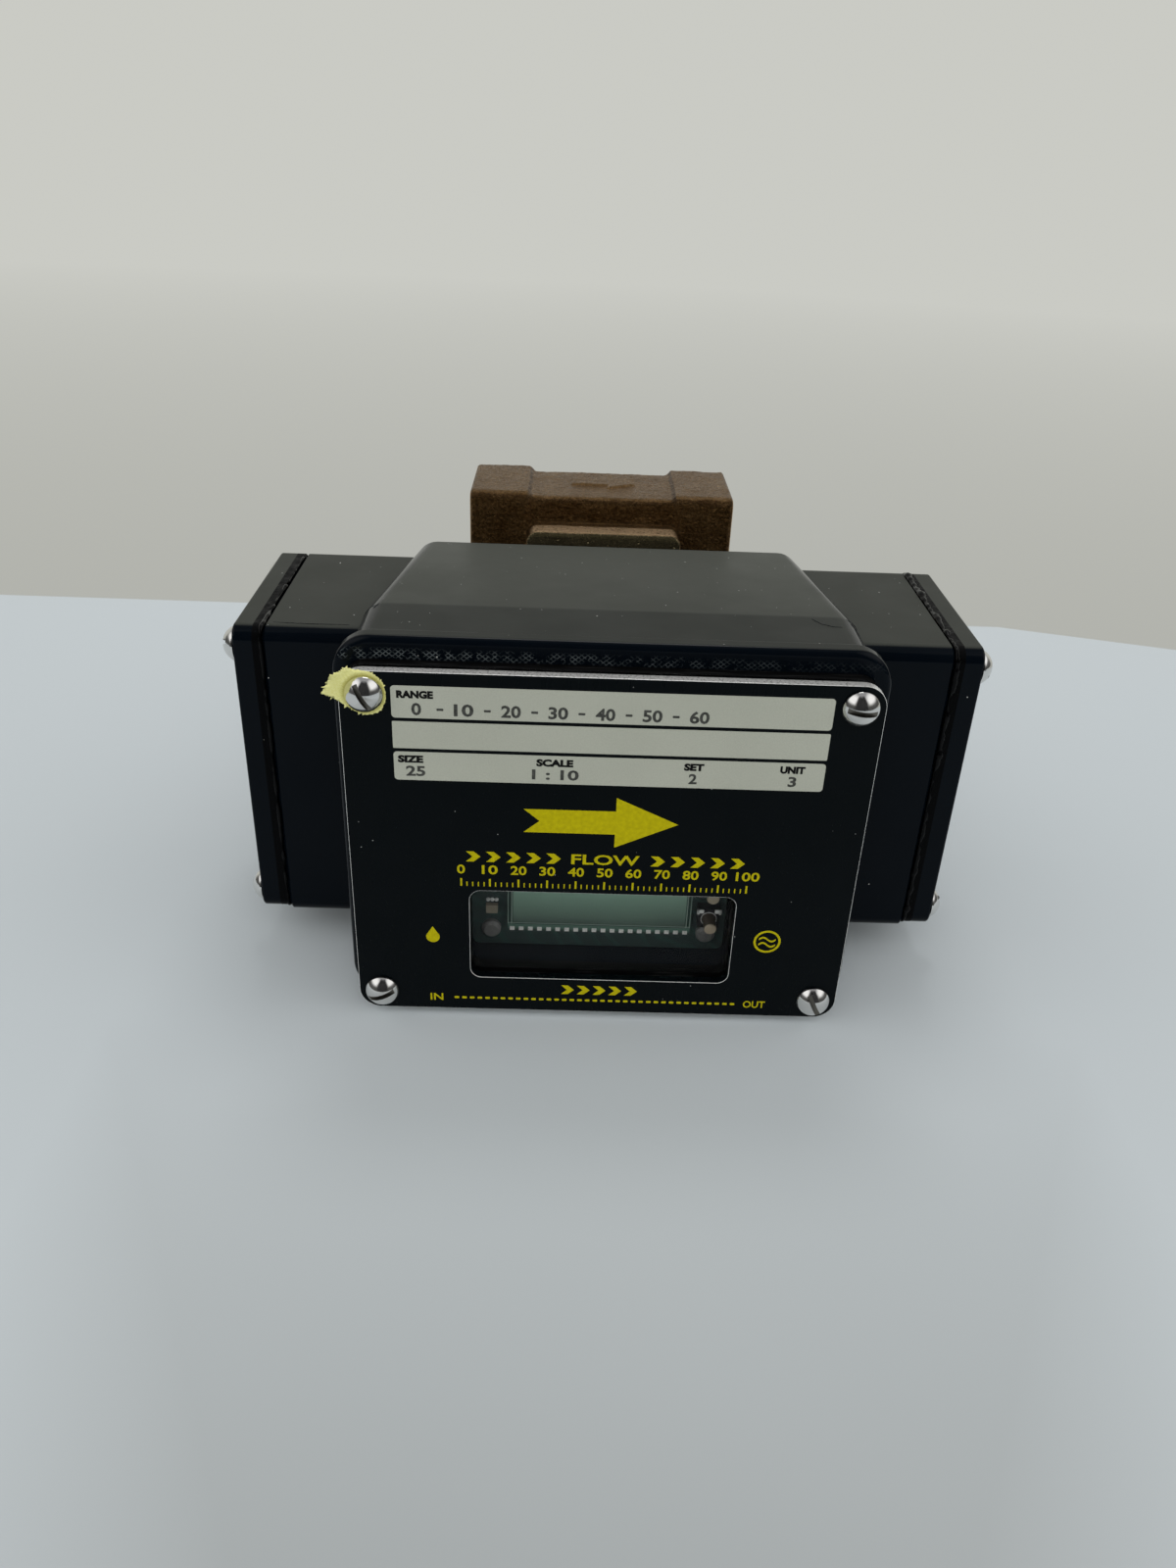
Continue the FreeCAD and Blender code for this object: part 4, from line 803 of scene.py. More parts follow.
DROP_X = -43.6
RING_X, RING_Z = 43.1, 24.9
small = [on_plate(arc(DROP_X, 23.7, 1.75, -225, 270, 32) + [(DROP_X, 27.0)])]
small.append(on_plate(arc(RING_X, RING_Z, 3.55, 0, 360, 40) + arc(RING_X, RING_Z, 2.95, 360, -360, 40)))
for height in (25.6, 23.9):
    small.append(wave_band(RING_X - 2.2, RING_X + 2.2, height, 0.6, 0.55))
for step in range(5):
    small.append(chevron(-8.4 + 4.2 * step, 5.8, 8.7, 1.6))
small.append(lettering("IN", -44.8, -41.4, 2.7, 5.0, 0.015))
small.append(lettering("OUT", 38.9, 44.8, 2.7, 5.0, 0.015))
for index in range(37):
    x = -37.8 + 2.05 * index
    small.append(on_plate(rounded(x - 0.62, 3.45, x + 0.62, 4.15, 0.2, 2)))
printed("yellow_small_signs", small, yellow)


# %% [markdown]
# ## Domed slotted screws
# Twelve screws with equal heads hold the plate and the end covers. One screw is made in Geometry Nodes: a
# ball and a drum are crossed to give the dome with its rim, and a bar is taken out for the slot. The bar's
# faces carry a mark, so that the slot can be painted darker, as painted shade. The screw is then set on
# points that carry their own turn, so a change of size changes all twelve. Copying a mesh in a loop would
# also do, but the tree keeps its sizes.

# %% Start and end of a tree
def start_tree(name, *sizes):
    """A Geometry Nodes tree with named inputs for its sizes and its finish."""
    tree = bpy.data.node_groups.new(name, "GeometryNodeTree")
    tree.interface.new_socket("Geometry", in_out="INPUT", socket_type="NodeSocketGeometry")
    tree.interface.new_socket("Geometry", in_out="OUTPUT", socket_type="NodeSocketGeometry")
    for size in sizes:
        tree.interface.new_socket(size, in_out="INPUT", socket_type="NodeSocketFloat")
    tree.interface.new_socket("Finish", in_out="INPUT", socket_type="NodeSocketMaterial")
    start = {socket.name: Value(socket) for socket in tree.nodes.new("NodeGroupInput").outputs}
    return tree, start


def end_tree(start, geometry):
    """Ends a tree with real meshes and a finish."""
    tree = geometry.tree
    real = give(tree, "GeometryNodeRealizeInstances", {"Geometry": geometry})
    dressed = give(tree, "GeometryNodeSetMaterial", {"Geometry": real, "Material": start["Finish"]})
    tree.links.new(dressed.socket, tree.nodes.new("NodeGroupOutput").inputs[0])


def end_on_points(start, shape):
    """Sets a shape on each point of the tree's geometry, by the point's own turn, and ends the tree."""
    turn = give(shape.tree, "GeometryNodeInputNamedAttribute", {"Name": "turn"}, data_type="FLOAT_VECTOR")
    values = {"Points": start["Geometry"], "Instance": shape, "Rotation": turn}
    end_tree(start, give(shape.tree, "GeometryNodeInstanceOnPoints", values))


print("a tree starts with its sizes and ends in real meshes")


# %% Shapes in a tree
def block(tree, x, y, z):
    """A box."""
    size = give(tree, "ShaderNodeCombineXYZ", {"X": x, "Y": y, "Z": z})
    return give(tree, "GeometryNodeMeshCube", {"Size": size})


def join(*parts):
    """Several shapes as one."""
    tree = parts[0].tree
    whole = add(tree, "GeometryNodeJoinGeometry")
    for part in parts:
        tree.links.new(part.socket, whole.inputs[0])
    return Value(whole.outputs[0])


def shift(shape, z):
    """Moves a shape along its own Z."""
    offset = give(shape.tree, "ShaderNodeCombineXYZ", {"Z": z})
    return give(shape.tree, "GeometryNodeTransform", {"Geometry": shape, "Translation": offset})


def smooth_by_angle(shape, angle):
    """Smooth faces with sharp edges where the surface turns by more than angle."""
    tree = shape.tree
    soft = give(tree, "GeometryNodeSetShadeSmooth", {"Geometry": shape, "Shade Smooth": True})
    turned = give(tree, "GeometryNodeInputMeshEdgeAngle", output="Unsigned Angle")
    sharp = give(tree, "FunctionNodeCompare", {"A": turned, "B": angle}, operation="GREATER_THAN")
    edged = {"Geometry": soft, "Selection": sharp, "Shade Smooth": False}
    return give(tree, "GeometryNodeSetShadeSmooth", edged, domain="EDGE")


print("a tree can", [helper.__name__ for helper in (block, join, shift, smooth_by_angle)])

# %% Screw tree
screw_tree, start = start_tree("domed_screw", "Head Radius", "Head Height", "Dome Radius", "Slot Width",
                               "Slot Depth", "Shank Radius", "Shank Length")
ball = {"Segments": 72, "Rings": 60, "Radius": start["Dome Radius"]}
ball = shift(give(screw_tree, "GeometryNodeMeshUVSphere", ball), start["Head Height"] - start["Dome Radius"])
drum_height = start["Head Height"] * 1.2
drum = {"Vertices": 72, "Radius": start["Head Radius"], "Depth": drum_height}
drum = shift(give(screw_tree, "GeometryNodeMeshCylinder", drum), drum_height * 0.5)
dome = add(screw_tree, "GeometryNodeMeshBoolean", operation="INTERSECT", solver="EXACT")
for part in (ball, drum):
    screw_tree.links.new(part.socket, dome.inputs["Mesh 2"])
bar = block(screw_tree, start["Head Radius"] * 3.0, start["Slot Width"], start["Slot Depth"])
bar = shift(bar, start["Head Height"] - start["Slot Depth"] * 0.5 + 1e-5)
bar = give(screw_tree, "GeometryNodeStoreNamedAttribute", {"Geometry": bar, "Name": "slot", "Value": 1.0},
           data_type="FLOAT", domain="FACE")
head = give(screw_tree, "GeometryNodeMeshBoolean", {"Mesh 1": Value(dome.outputs[0]), "Mesh 2": bar},
            operation="DIFFERENCE", solver="EXACT")
shank = {"Vertices": 24, "Radius": start["Shank Radius"], "Depth": start["Shank Length"]}
shank = shift(give(screw_tree, "GeometryNodeMeshCylinder", shank), start["Shank Length"] * -0.5)
end_on_points(start, join(smooth_by_angle(head, 0.6), smooth_by_angle(shank, 0.6)))
print("screw tree has", len(screw_tree.nodes), "nodes")


# %% Grow a tree on points
def seat_points(name, seats):
    """Points to set a shape on: each seat is a place, an outward direction (as a turn) and an angle."""
    mesh = bpy.data.meshes.new(name)
    mesh.from_pydata([place for place, _, _ in seats], [], [])
    turns = mesh.attributes.new("turn", "FLOAT_VECTOR", "POINT")
    for item, (_, outward, angle) in zip(turns.data, seats):
        item.vector = (outward @ Matrix.Rotation(math.radians(angle), 3, "Z")).to_euler()
    return mesh


def grow(name, mesh, tree, sizes, finish):
    """Runs a tree on a mesh and keeps the result as a plain mesh at the origin."""
    holder = bpy.data.objects.new(name, mesh)
    scene.collection.objects.link(holder)
    modifier = holder.modifiers.new("grow", "NODES")
    modifier.node_group = tree
    values = {**sizes, "Finish": finish.material}
    for item in tree.interface.items_tree:
        if item.in_out == "INPUT" and item.name in values:
            modifier[item.identifier] = values[item.name]
    evaluated = holder.evaluated_get(bpy.context.evaluated_depsgraph_get())
    grown = bpy.data.meshes.new_from_object(evaluated)
    holder.modifiers.remove(modifier)
    holder.data = grown
    grown.name = name
    print(name, len(grown.vertices), "points", len(grown.polygons), "faces")
    return holder


print("a seat is a place, an outward turn and an angle")

# %% Set the screws
HEAD_R = 4.5
HEAD_HEIGHT = 3.4
HEAD_RIM = 0.5
rise = HEAD_HEIGHT - HEAD_RIM
DOME_R = (HEAD_R ** 2 + rise ** 2) / (2 * rise)
TO_FRONT = Matrix.Rotation(math.radians(90), 3, "X")
TO_LEFT = Matrix.Rotation(math.radians(-90), 3, "Y")
TO_RIGHT = Matrix.Rotation(math.radians(90), 3, "Y")


def screws(name, node, seats, length):
    """One group of screws, which stands for its node."""
    sizes = {"Head Radius": HEAD_R * MM, "Head Height": HEAD_HEIGHT * MM, "Dome Radius": DOME_R * MM,
             "Slot Width": 1.3 * MM, "Slot Depth": 1.5 * MM, "Shank Radius": 2.05 * MM,
             "Shank Length": length}
    piece = grow(name, seat_points(name, seats), screw_tree, sizes, steel)
    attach(piece, "case")
    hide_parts(node)


low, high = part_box("front_screws")
left_x, right_x = low.x + HEAD_R * MM, high.x - HEAD_R * MM
foot_z, top_z = low.z + HEAD_R * MM, high.z - HEAD_R * MM
tag_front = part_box("tag_scrap")[0].y
front_seats = [
    (Vector((left_x, tag_front, top_z)), TO_FRONT, -61),
    (Vector((right_x, plate_low.y, top_z)), TO_FRONT, -5),
    (Vector((left_x, plate_low.y, foot_z)), TO_FRONT, 20),
    (Vector((right_x, plate_low.y, foot_z)), TO_FRONT, -64),
]
screws("plate_screws", "front_screws", front_seats, high.y - plate_low.y)
for name, outward in (("left", TO_LEFT), ("right", TO_RIGHT)):
    low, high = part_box(name + "_cover_screws")
    cover_low, cover_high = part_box(name + "_end_cover")
    face, inner = (cover_low.x, high.x) if name == "left" else (cover_high.x, low.x)
    seats = []
    for row, depth in enumerate((low.y + HEAD_R * MM, high.y - HEAD_R * MM)):
        for column, height in enumerate((low.z + HEAD_R * MM, high.z - HEAD_R * MM)):
            seats.append((Vector((face, depth, height)), outward, 37 + 61 * row + 83 * column))
    screws(name + "_end_screws", name + "_cover_screws", seats, abs(inner - face))


# %% [markdown]
# ## Behind the window
# The display is a block of glass, switched off: a green-grey field in a dark frame, painted darker towards
# its foot as painted shade, with lighter lines at its glass edges that are partly painted highlight. Below
# it a row of tinned pins is soldered to the board. Two push switches stand at the right, each with a bright
# sheet frame and bent corner tabs, and at the left there is a small part with bright solder.

# %% Display glass
lcd_low, lcd_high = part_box("lcd_glass")
lcd_foot = lcd_low.z / MM
lcd_top = lcd_high.z / MM

lcd = Finish("display_field", (0.25, 0.38, 0.31), 0.12, IOR=1.4)
place = lcd.mm()
x, y, z = place.axes()
inside_x = abs(x).to(23.7, 24.1, 1, 0)
inside_z = z.to(lcd_foot + 2.7, lcd_foot + 3.1)
field = inside_x * inside_z * z.to(lcd_top - 3.1, lcd_top - 2.7, 1, 0)
cloud = place.grain(18, 2)
# Painted shade: the field is darker towards its foot.
shade = z.to(lcd_foot + 3, lcd_foot + 13).mix((0.070, 0.095, 0.085), (0.235, 0.37, 0.292))
shade = cloud.to(0.3, 0.7, 0, 0.15).mix(shade, (0.22, 0.34, 0.27))
on_front = y < lcd_low.y / MM + 0.2
border = on_front.mix((0.10, 0.17, 0.14), (0.03, 0.05, 0.044))
# Lighter lines at the glass edges: real edges, partly painted highlight.
lines = abs(x).near(24.25, 0.14) | abs(x).near(25.2, 0.12) | z.near(lcd_foot + 2.75, 0.14)
border = (lines * on_front).mix(border, (0.22, 0.29, 0.25))
lcd.wear((field * on_front).mix(border, shade), cloud.to(0.3, 0.7, 0.06, 0.16))
print("display glass", [round((b - a) / MM, 1) for a, b in zip(lcd_low, lcd_high)])

# %% Soldered pins
PIN_COUNT = 20
PIN_WIDTH = 1.2
PIN_EDGE = 0.45 * MM
pin_low, pin_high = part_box("lcd_pins")
board_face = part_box("display_board")[0].y
pin_pitch = (pin_high.x - pin_low.x - PIN_WIDTH * MM) / (PIN_COUNT - 1)

pin_tree, start = start_tree("soldered_pin", "Blade Width", "Blade Height", "Blade Length", "Solder Radius")
blade = block(pin_tree, start["Blade Width"], start["Blade Height"], start["Blade Length"])
blade = shift(blade, start["Blade Length"] * 0.5)
cone = {"Vertices": 20, "Side Segments": 4, "Radius Top": start["Solder Radius"] * 0.45,
        "Radius Bottom": start["Solder Radius"], "Depth": start["Solder Radius"] * 0.9}
solder = smooth_by_angle(give(pin_tree, "GeometryNodeMeshCone", cone), 0.9)
end_on_points(start, join(blade, solder))

pin_seats = []
for index in range(PIN_COUNT):
    x = pin_low.x + PIN_WIDTH / 2 * MM + pin_pitch * index
    for height in (pin_low.z + PIN_EDGE, pin_high.z - PIN_EDGE):
        pin_seats.append((Vector((x, board_face, height)), TO_FRONT, 0))
sizes = {"Blade Width": 1.3 * MM, "Blade Height": 1.05 * MM, "Blade Length": board_face - pin_low.y,
         "Solder Radius": 0.8 * MM}
pins = grow("soldered_pins", seat_points("soldered_pins", pin_seats), pin_tree, sizes, tin)
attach(pins, "case")
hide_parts("lcd_pins")


# %% Small metal shapes
def block_into(edit, low, high, bevel):
    """Adds a small box with bevelled edges to a bmesh, corners in metres."""
    verts = bmesh.ops.create_cube(edit, size=1.0)["verts"]
    for vert in verts:
        vert.co = Vector([low[i] + (vert.co[i] + 0.5) * (high[i] - low[i]) for i in range(3)])
    edges = list({e for v in verts for e in v.link_edges})
    bmesh.ops.bevel(edit, geom=edges, offset=bevel, segments=2, profile=0.5, affect="EDGES")


def drop_into(edit, centre, radius, flat):
    """Adds a low drop of solder that sits on the board."""
    made = bmesh.ops.create_uvsphere(edit, u_segments=16, v_segments=10, radius=radius)
    for vert in made["verts"]:
        vert.co = Vector((centre[0] + vert.co.x, centre[1] + vert.co.y * flat, centre[2] + vert.co.z))


def bridge(edit, rings, pairs):
    """Closes the strips between pairs of rings of as many points."""
    for near, far in pairs:
        count = len(rings[near])
        for index in range(count):
            after = (index + 1) % count
            edit.faces.new((rings[near][index], rings[near][after], rings[far][after], rings[far][index]))


def collar_into(edit, cx, cz, front, thick, inner, outer, steps=40):
    """Adds a flat ring that faces the front."""
    rings = []
    turns = [2 * math.pi * index / steps for index in range(steps)]
    for y, radius in ((front, inner), (front, outer), (front + thick, outer), (front + thick, inner)):
        spots = [(cx + radius * math.cos(t), y, cz + radius * math.sin(t)) for t in turns]
        rings.append([edit.verts.new(spot) for spot in spots])
    bridge(edit, rings, ((0, 1), (1, 2), (2, 3), (3, 0)))


print("small shapes", [helper.__name__ for helper in (block_into, drop_into, collar_into)])

# %% Switch frames and solder drops
COLLAR_THICK = 0.25 * MM
COLLAR_INNER = 2.08 * MM
COLLAR_OUTER = 2.22 * MM
TAB_TOP = 3.1 * MM
TAB_BEVEL = 0.12 * MM
TABS = ((1.5, 3.4, 1.1), (2.7, 3.3, 1.5))
SOLDER_X, SOLDER_Z = -30.9, 22.6
SOLDER_STEP = 1.15
SOLDER_R = 0.62 * MM
BUTTONS = ("lower_button", "upper_button")
switch_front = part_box("switch_bases")[0].y
edit = bmesh.new()
for button in BUTTONS:
    cx, _, cz = (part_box(button)[0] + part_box(button)[1]) / 2
    collar_into(edit, cx, cz, switch_front - COLLAR_THICK, COLLAR_THICK, COLLAR_INNER, COLLAR_OUTER)
    top = cz + TAB_TOP
    for side in (-1, 1):
        for near, far, tall in TABS:
            ends = sorted((cx + side * near * MM, cx + side * far * MM))
            block_into(edit, (ends[0], switch_front - 0.45 * MM, top - tall * MM),
                       (ends[1], switch_front + 0.1 * MM, top), TAB_BEVEL)
for index in range(3):
    centre = ((SOLDER_X + SOLDER_STEP * index) * MM, board_face, SOLDER_Z * MM)
    drop_into(edit, centre, SOLDER_R, 0.9)
switch_frames = settle("switch_frames", close(edit, "switch_frames"), tin)
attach(switch_frames, "case")

# %% Cream tips on the two switch stems
tip_cream = plastic("stem_tip", (0.42, 0.35, 0.26), (0.34, 0.28, 0.20), 0.45, 0.8)
for button in BUTTONS:
    low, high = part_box(button)
    stem = (low + high) / 2
    edit = bmesh.new()
    bmesh.ops.create_cone(edit, cap_ends=True, segments=40, radius1=1.7 * MM, radius2=1.6 * MM,
                          depth=0.3 * MM)
    rim = [e for e in edit.edges if all(v.co.z > 0 for v in e.verts)]
    bmesh.ops.bevel(edit, geom=rim, offset=0.12 * MM, segments=3, profile=0.5, affect="EDGES")
    for vert in edit.verts:
        vert.co = (stem.x + vert.co.x, low.y - vert.co.z - 0.14 * MM, stem.z + vert.co.y)
    tip_mesh = close(edit, button + "_tip", lambda face: abs(face.normal.y) < 0.95)
    tip = settle(button + "_tip", tip_mesh, tip_cream)
    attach(tip, button)


# %% [markdown]
# ## Torn paper tag
# A scrap of yellow tag was left under the top left screw when the rest was torn off. Its solid is a flat
# outline. Here the outline is torn into small teeth from seeded noise, cut into a grid so that it can bend,
# and curled away from the plate at its free left side. Near the screw's head the paper is darker.

# %% Paper finish
paper = Finish("torn_paper", (0.66, 0.62, 0.22), 0.85)
place = paper.mm()
x, _, z = place.axes()
fibre = paper.mm((1, 1, 3.5), (0, 0.6, 0)).grain(0.5, 4, 0.65)
reach = ((x - left_x / MM) ** 2 + (z - top_z / MM) ** 2).step("SQRT")
darker_near_head = (reach + fibre * 1.6).to(5.2, 6.4, 1, 0)
sheet = fibre.to(0.3, 0.7).mix((0.84, 0.81, 0.25), (0.98, 0.96, 0.47))
paper.wear(darker_near_head.mix(sheet, (0.50, 0.46, 0.10)), None, (fibre, 0.10), (place.grain(2.0, 2), 0.25))
print("paper finish", paper.material.name)

# %% Torn outline of the tag
TAG_OUTLINE = [
    (-9.1, 1.2), (-7.9, 3.3), (-7.0, 5.3), (-5.3, 5.8), (-3.7, 6.7), (-2.0, 6.0), (-0.4, 5.8), (1.2, 5.6),
    (2.9, 4.8), (4.4, 3.1), (5.0, 0.9), (5.0, -1.4), (4.3, -3.4), (3.0, -4.8), (0.5, -5.5), (-1.9, -4.8),
    (-4.2, -3.3), (-6.2, -1.5),
]
TOOTH_STEP = 0.24
tear = random.Random(11)
outline = []
for (ax, az), (bx, bz) in zip(TAG_OUTLINE, TAG_OUTLINE[1:] + TAG_OUTLINE[:1]):
    length = math.hypot(bx - ax, bz - az)
    steps = max(2, int(length / TOOTH_STEP))
    for step in range(steps):
        share = step / steps
        tooth = tear.uniform(-0.14, 0.1)
        if tear.random() < 0.14:
            tooth += tear.uniform(0.2, 0.6)
        outline.append((ax + (bx - ax) * share - (bz - az) / length * tooth,
                        az + (bz - az) * share + (bx - ax) / length * tooth))
print("torn outline has", len(outline), "points")

# %% Curl the tag
TAG_THICK = 0.26
GRID_STEP = 0.8
HOLE_R = 2.6
CURL_START = 4.3


def from_screw(point):
    """How far a point lies from the middle of the top left screw, seen from the front."""
    return math.hypot(point.x - left_x, point.z - top_z) / MM


edit = bmesh.new()
back = plate_low.y - 0.02 * MM
edit.faces.new([edit.verts.new((left_x + px * MM, back, top_z + pz * MM)) for px, pz in outline])
for step in range(-13, 8):
    for normal in (Vector((1, 0, 0.2)), Vector((0.2, 0, 1))):
        point = Vector((left_x, 0, top_z)) + normal.normalized() * step * GRID_STEP * MM
        everything = edit.verts[:] + edit.edges[:] + edit.faces[:]
        bmesh.ops.bisect_plane(edit, geom=everything, plane_co=point, plane_no=normal)
middle = [face for face in edit.faces if from_screw(face.calc_center_median()) < HOLE_R]
bmesh.ops.delete(edit, geom=middle, context="FACES")
for vert in edit.verts:
    px = (vert.co.x - left_x) / MM
    pz = (vert.co.z - top_z) / MM
    away = max(0.0, from_screw(vert.co) - CURL_START)
    leftward = max(0.0, min(1.0, (-px - 2.6) / 5.0))
    wobble = 0.35 * noise.noise(Vector((px * 0.5, pz * 0.5, 3.1)))
    curl = away * away * 0.10 * leftward + away * (0.10 + 0.16 * leftward)
    vert.co.y -= (curl + wobble * min(1.0, away)) * MM
for face in edit.faces:
    if face.normal.y > 0:
        face.normal_flip()
bmesh.ops.solidify(edit, geom=edit.faces[:], thickness=TAG_THICK * MM)
for vert in edit.verts:
    vert.co.y = min(vert.co.y, plate_low.y)
    if from_screw(vert.co) < HEAD_R + 0.25:
        vert.co.y = max(vert.co.y, tag_front)
tag = settle("torn_tag", close(edit, "torn_tag", lambda face: True), paper)
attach(tag, "case")
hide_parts("tag_scrap")


# %% [markdown]
# ## Bronze body
# The meter body was cast in sand and left as it came, with only its pipe ends and threads machined. Sand
# casting rounds every edge and leaves a rough skin. Voxel remeshing does just that to a sharp solid: it
# joins the raised flow arrow to the body and softens the edges, and then the skin is moved by noise, except
# on the machined faces. Bump alone would leave the outline too clean.

# %% Bronze finish
body_low, body_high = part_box("meter_body")
boss_y = body_low.y / MM
middle_x = (body_low.x + body_high.x) / 2
half_length = (body_high.x - body_low.x) / 2 / MM

bronze = Finish("cast_bronze", (0.14, 0.085, 0.045), 0.5, 0.95)
place = bronze.mm()
x, y, _ = place.axes()
_, facing_back, facing_up = bronze.facing()
skin = place.grain(0.9, 4, 0.66)
patch = place.grain(7, 4, 0.6)
streak = bronze.mm((0.12, 1, 1)).grain(0.7, 3)
pits = place.specks(1.5, 0.6, 0.3)
edges = give(bronze.tree, "ShaderNodeNewGeometry", output="Pointiness").to(0.53, 0.62, 0, 0.5)
slope_painted_shade = facing_up.to(0.1, 0.35, 0, 0.6) * facing_up.to(0.68, 0.8, 1, 0)
boss_top = facing_up.to(0.6, 0.9, 0, 0.8) * (y < boss_y + 6.0)
boss_face = facing_back.to(-0.95, -0.7, 1, 0) * (y < boss_y + 0.8)
ends = abs(x - middle_x / MM) > half_length - 0.25

tone = patch.to(0.3, 0.7).mix((0.094, 0.045, 0.013), (0.205, 0.118, 0.045))
tone = skin.to(0.42, 0.60, 0, 0.72).mix(tone, (0.030, 0.013, 0.003))
tone = streak.to(0.5, 0.75, 0, 0.3).mix(tone, (0.25, 0.155, 0.07))
tone = pits.mix(tone, (0.045, 0.026, 0.011))
# Painted light: faces that look up are lighter.
tone = facing_up.to(0.74, 0.86, 0, 0.4).mix(tone, (0.18, 0.112, 0.048))
# Painted shade: sloping faces between top and front are darker.
tone = slope_painted_shade.mix(tone, (0.030, 0.016, 0.006))
# Painted light: the boss's upward faces are lighter still.
tone = boss_top.mix(tone, skin.mix((0.30, 0.20, 0.105), (0.72, 0.52, 0.32)))
# Sharp edges are lighter: rubbed edges, partly painted highlight.
tone = edges.mix(tone, (0.40, 0.27, 0.15))
tone = boss_face.mix(tone, patch.mix((0.16, 0.133, 0.066), (0.54, 0.44, 0.25)))
tone = ends.mix(tone, (0.52, 0.34, 0.17))
cast_skin = skin * boss_face.to(0, 1, 1, 0.15)
bronze.wear(tone, skin.to(0.3, 0.7, 0.2, 0.5) - boss_face * 0.17,
            (cast_skin, 0.7), (streak, 0.06), (pits, -0.16))
print("bronze body", round(2 * half_length, 1), "mm long")

# %% Body with its flow arrow
FLOW_ARROW = [(-9, -1.5), (2, -1.5), (2, -4.5), (10, 0), (2, 4.5), (2, 1.5), (-9, 1.5)]
ARROW_SINK = 2.0 * MM
ARROW_TALL = 1.3 * MM
inlet = next(m for m in frame["record"]["mounts"] if m["name"] == "inlet_port")
PIPE_Y, PIPE_Z = inlet["pos_m"][1:]

edit, body_mesh = merged_copy("meter_body", "cast_body")
arrow_foot = body_high.z - ARROW_SINK
arrow = [edit.verts.new((middle_x + ax * MM, PIPE_Y + ay * MM, arrow_foot)) for ax, ay in FLOW_ARROW]
extrude(edit, edit.faces.new(arrow), Vector((0, 0, ARROW_TALL)))
bmesh.ops.triangulate(edit, faces=edit.faces)
bmesh.ops.recalc_face_normals(edit, faces=edit.faces)
edit.to_mesh(body_mesh)
edit.free()
rough = settle("cast_body", body_mesh, bronze)

# %% Cast skin
VOXEL = 0.52 * MM
PORT_R = inlet["dims"]["r_mm"] * MM
remesh = rough.modifiers.new("sand", "REMESH")
remesh.mode = "VOXEL"
remesh.voxel_size = VOXEL
remesh.use_smooth_shade = True
cast_mesh = bpy.data.meshes.new_from_object(rough.evaluated_get(bpy.context.evaluated_depsgraph_get()))
rough.modifiers.remove(remesh)
rough.data = cast_mesh
cast_mesh.name = "cast_body"
bpy.data.meshes.remove(body_mesh)
if not cast_mesh.materials:
    cast_mesh.materials.append(bronze.material)
for vert, normal in zip(cast_mesh.vertices, [v.normal.copy() for v in cast_mesh.vertices]):
    place = vert.co / MM
    radial = math.hypot(vert.co.y - PIPE_Y, vert.co.z - PIPE_Z)
    from_end = min(vert.co.x - body_low.x, body_high.x - vert.co.x)
    machined = radial < PORT_R + 0.5 * MM or from_end < 0.3 * MM
    seated = vert.co.y < body_low.y + 0.4 * MM
    if not machined and not seated:
        slow, quick, fine = (noise.noise(place * rate) for rate in (0.16, 0.55, 1.3))
        vert.co += normal * (0.16 * slow + 0.10 * quick + 0.07 * fine - 0.06) * MM
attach(rough, "case")
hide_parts("meter_body")
print("cast body", len(cast_mesh.polygons), "faces")

# %% Pipe threads
thread_tree, start = start_tree("pipe_thread", "Radius", "Length", "Pitch", "Ridge")
helix = {"Resolution": 72, "Rotations": start["Length"] / start["Pitch"], "Start Radius": start["Radius"],
         "End Radius": start["Radius"], "Height": start["Length"]}
helix = give(thread_tree, "GeometryNodeCurveSpiral", helix)
profile = {"Resolution": 5, "Radius": start["Ridge"]}
profile = give(thread_tree, "GeometryNodeCurvePrimitiveCircle", profile)
swept = {"Curve": helix, "Profile Curve": profile, "Fill Caps": True}
end_on_points(start, give(thread_tree, "GeometryNodeCurveToMesh", swept))

cut_bronze = one_grain("cut_bronze", (0.50, 0.32, 0.15), 0.3, 1.0, 0.6, 3, (4, 0.6, 0.6), BRONZE_TONES,
                       (0.22, 0.42))
THREAD_START = 1.2 * MM
port_seats = [
    (Vector((body_low.x + THREAD_START, PIPE_Y, PIPE_Z)), TO_RIGHT, 0),
    (Vector((body_high.x - THREAD_START, PIPE_Y, PIPE_Z)), TO_LEFT, 0),
]
sizes = {"Radius": PORT_R, "Length": 13.0 * MM, "Pitch": 1.81 * MM, "Ridge": 0.75 * MM}
threads = grow("port_threads", seat_points("port_threads", port_seats), thread_tree, sizes, cut_bronze)
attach(threads, "case")


# %% [markdown]
# ## Sealant at the end covers
# A rubber gasket lies between each wing and its cover, and a little black sealant has squeezed out of the
# joint in uneven beads. A bead follows a path, so it is a Geometry Nodes tree: the joint's outline becomes a
# curve, noise moves it and changes its thickness, and a small circle is swept along it.

# %% Sealant tree and finish
bead_tree, start = start_tree("sealant_bead", "Step", "Radius", "Wander", "Lumps Per Metre")
path = give(bead_tree, "GeometryNodeMeshToCurve", {"Mesh": start["Geometry"]})
path = {"Curve": path, "Length": start["Step"]}
path = give(bead_tree, "GeometryNodeResampleCurve", path, mode="LENGTH")
spot = give(bead_tree, "GeometryNodeInputPosition")
lumps = {"Vector": spot, "Scale": start["Lumps Per Metre"], "Detail": 3.0}
lumps = add(bead_tree, "ShaderNodeTexNoise", lumps).outputs
centred = {0: Value(lumps["Color"]), 1: (0.5, 0.5, 0.5)}
centred = give(bead_tree, "ShaderNodeVectorMath", centred, operation="SUBTRACT")
wander = {0: centred, "Scale": start["Wander"]}
wander = give(bead_tree, "ShaderNodeVectorMath", wander, operation="SCALE")
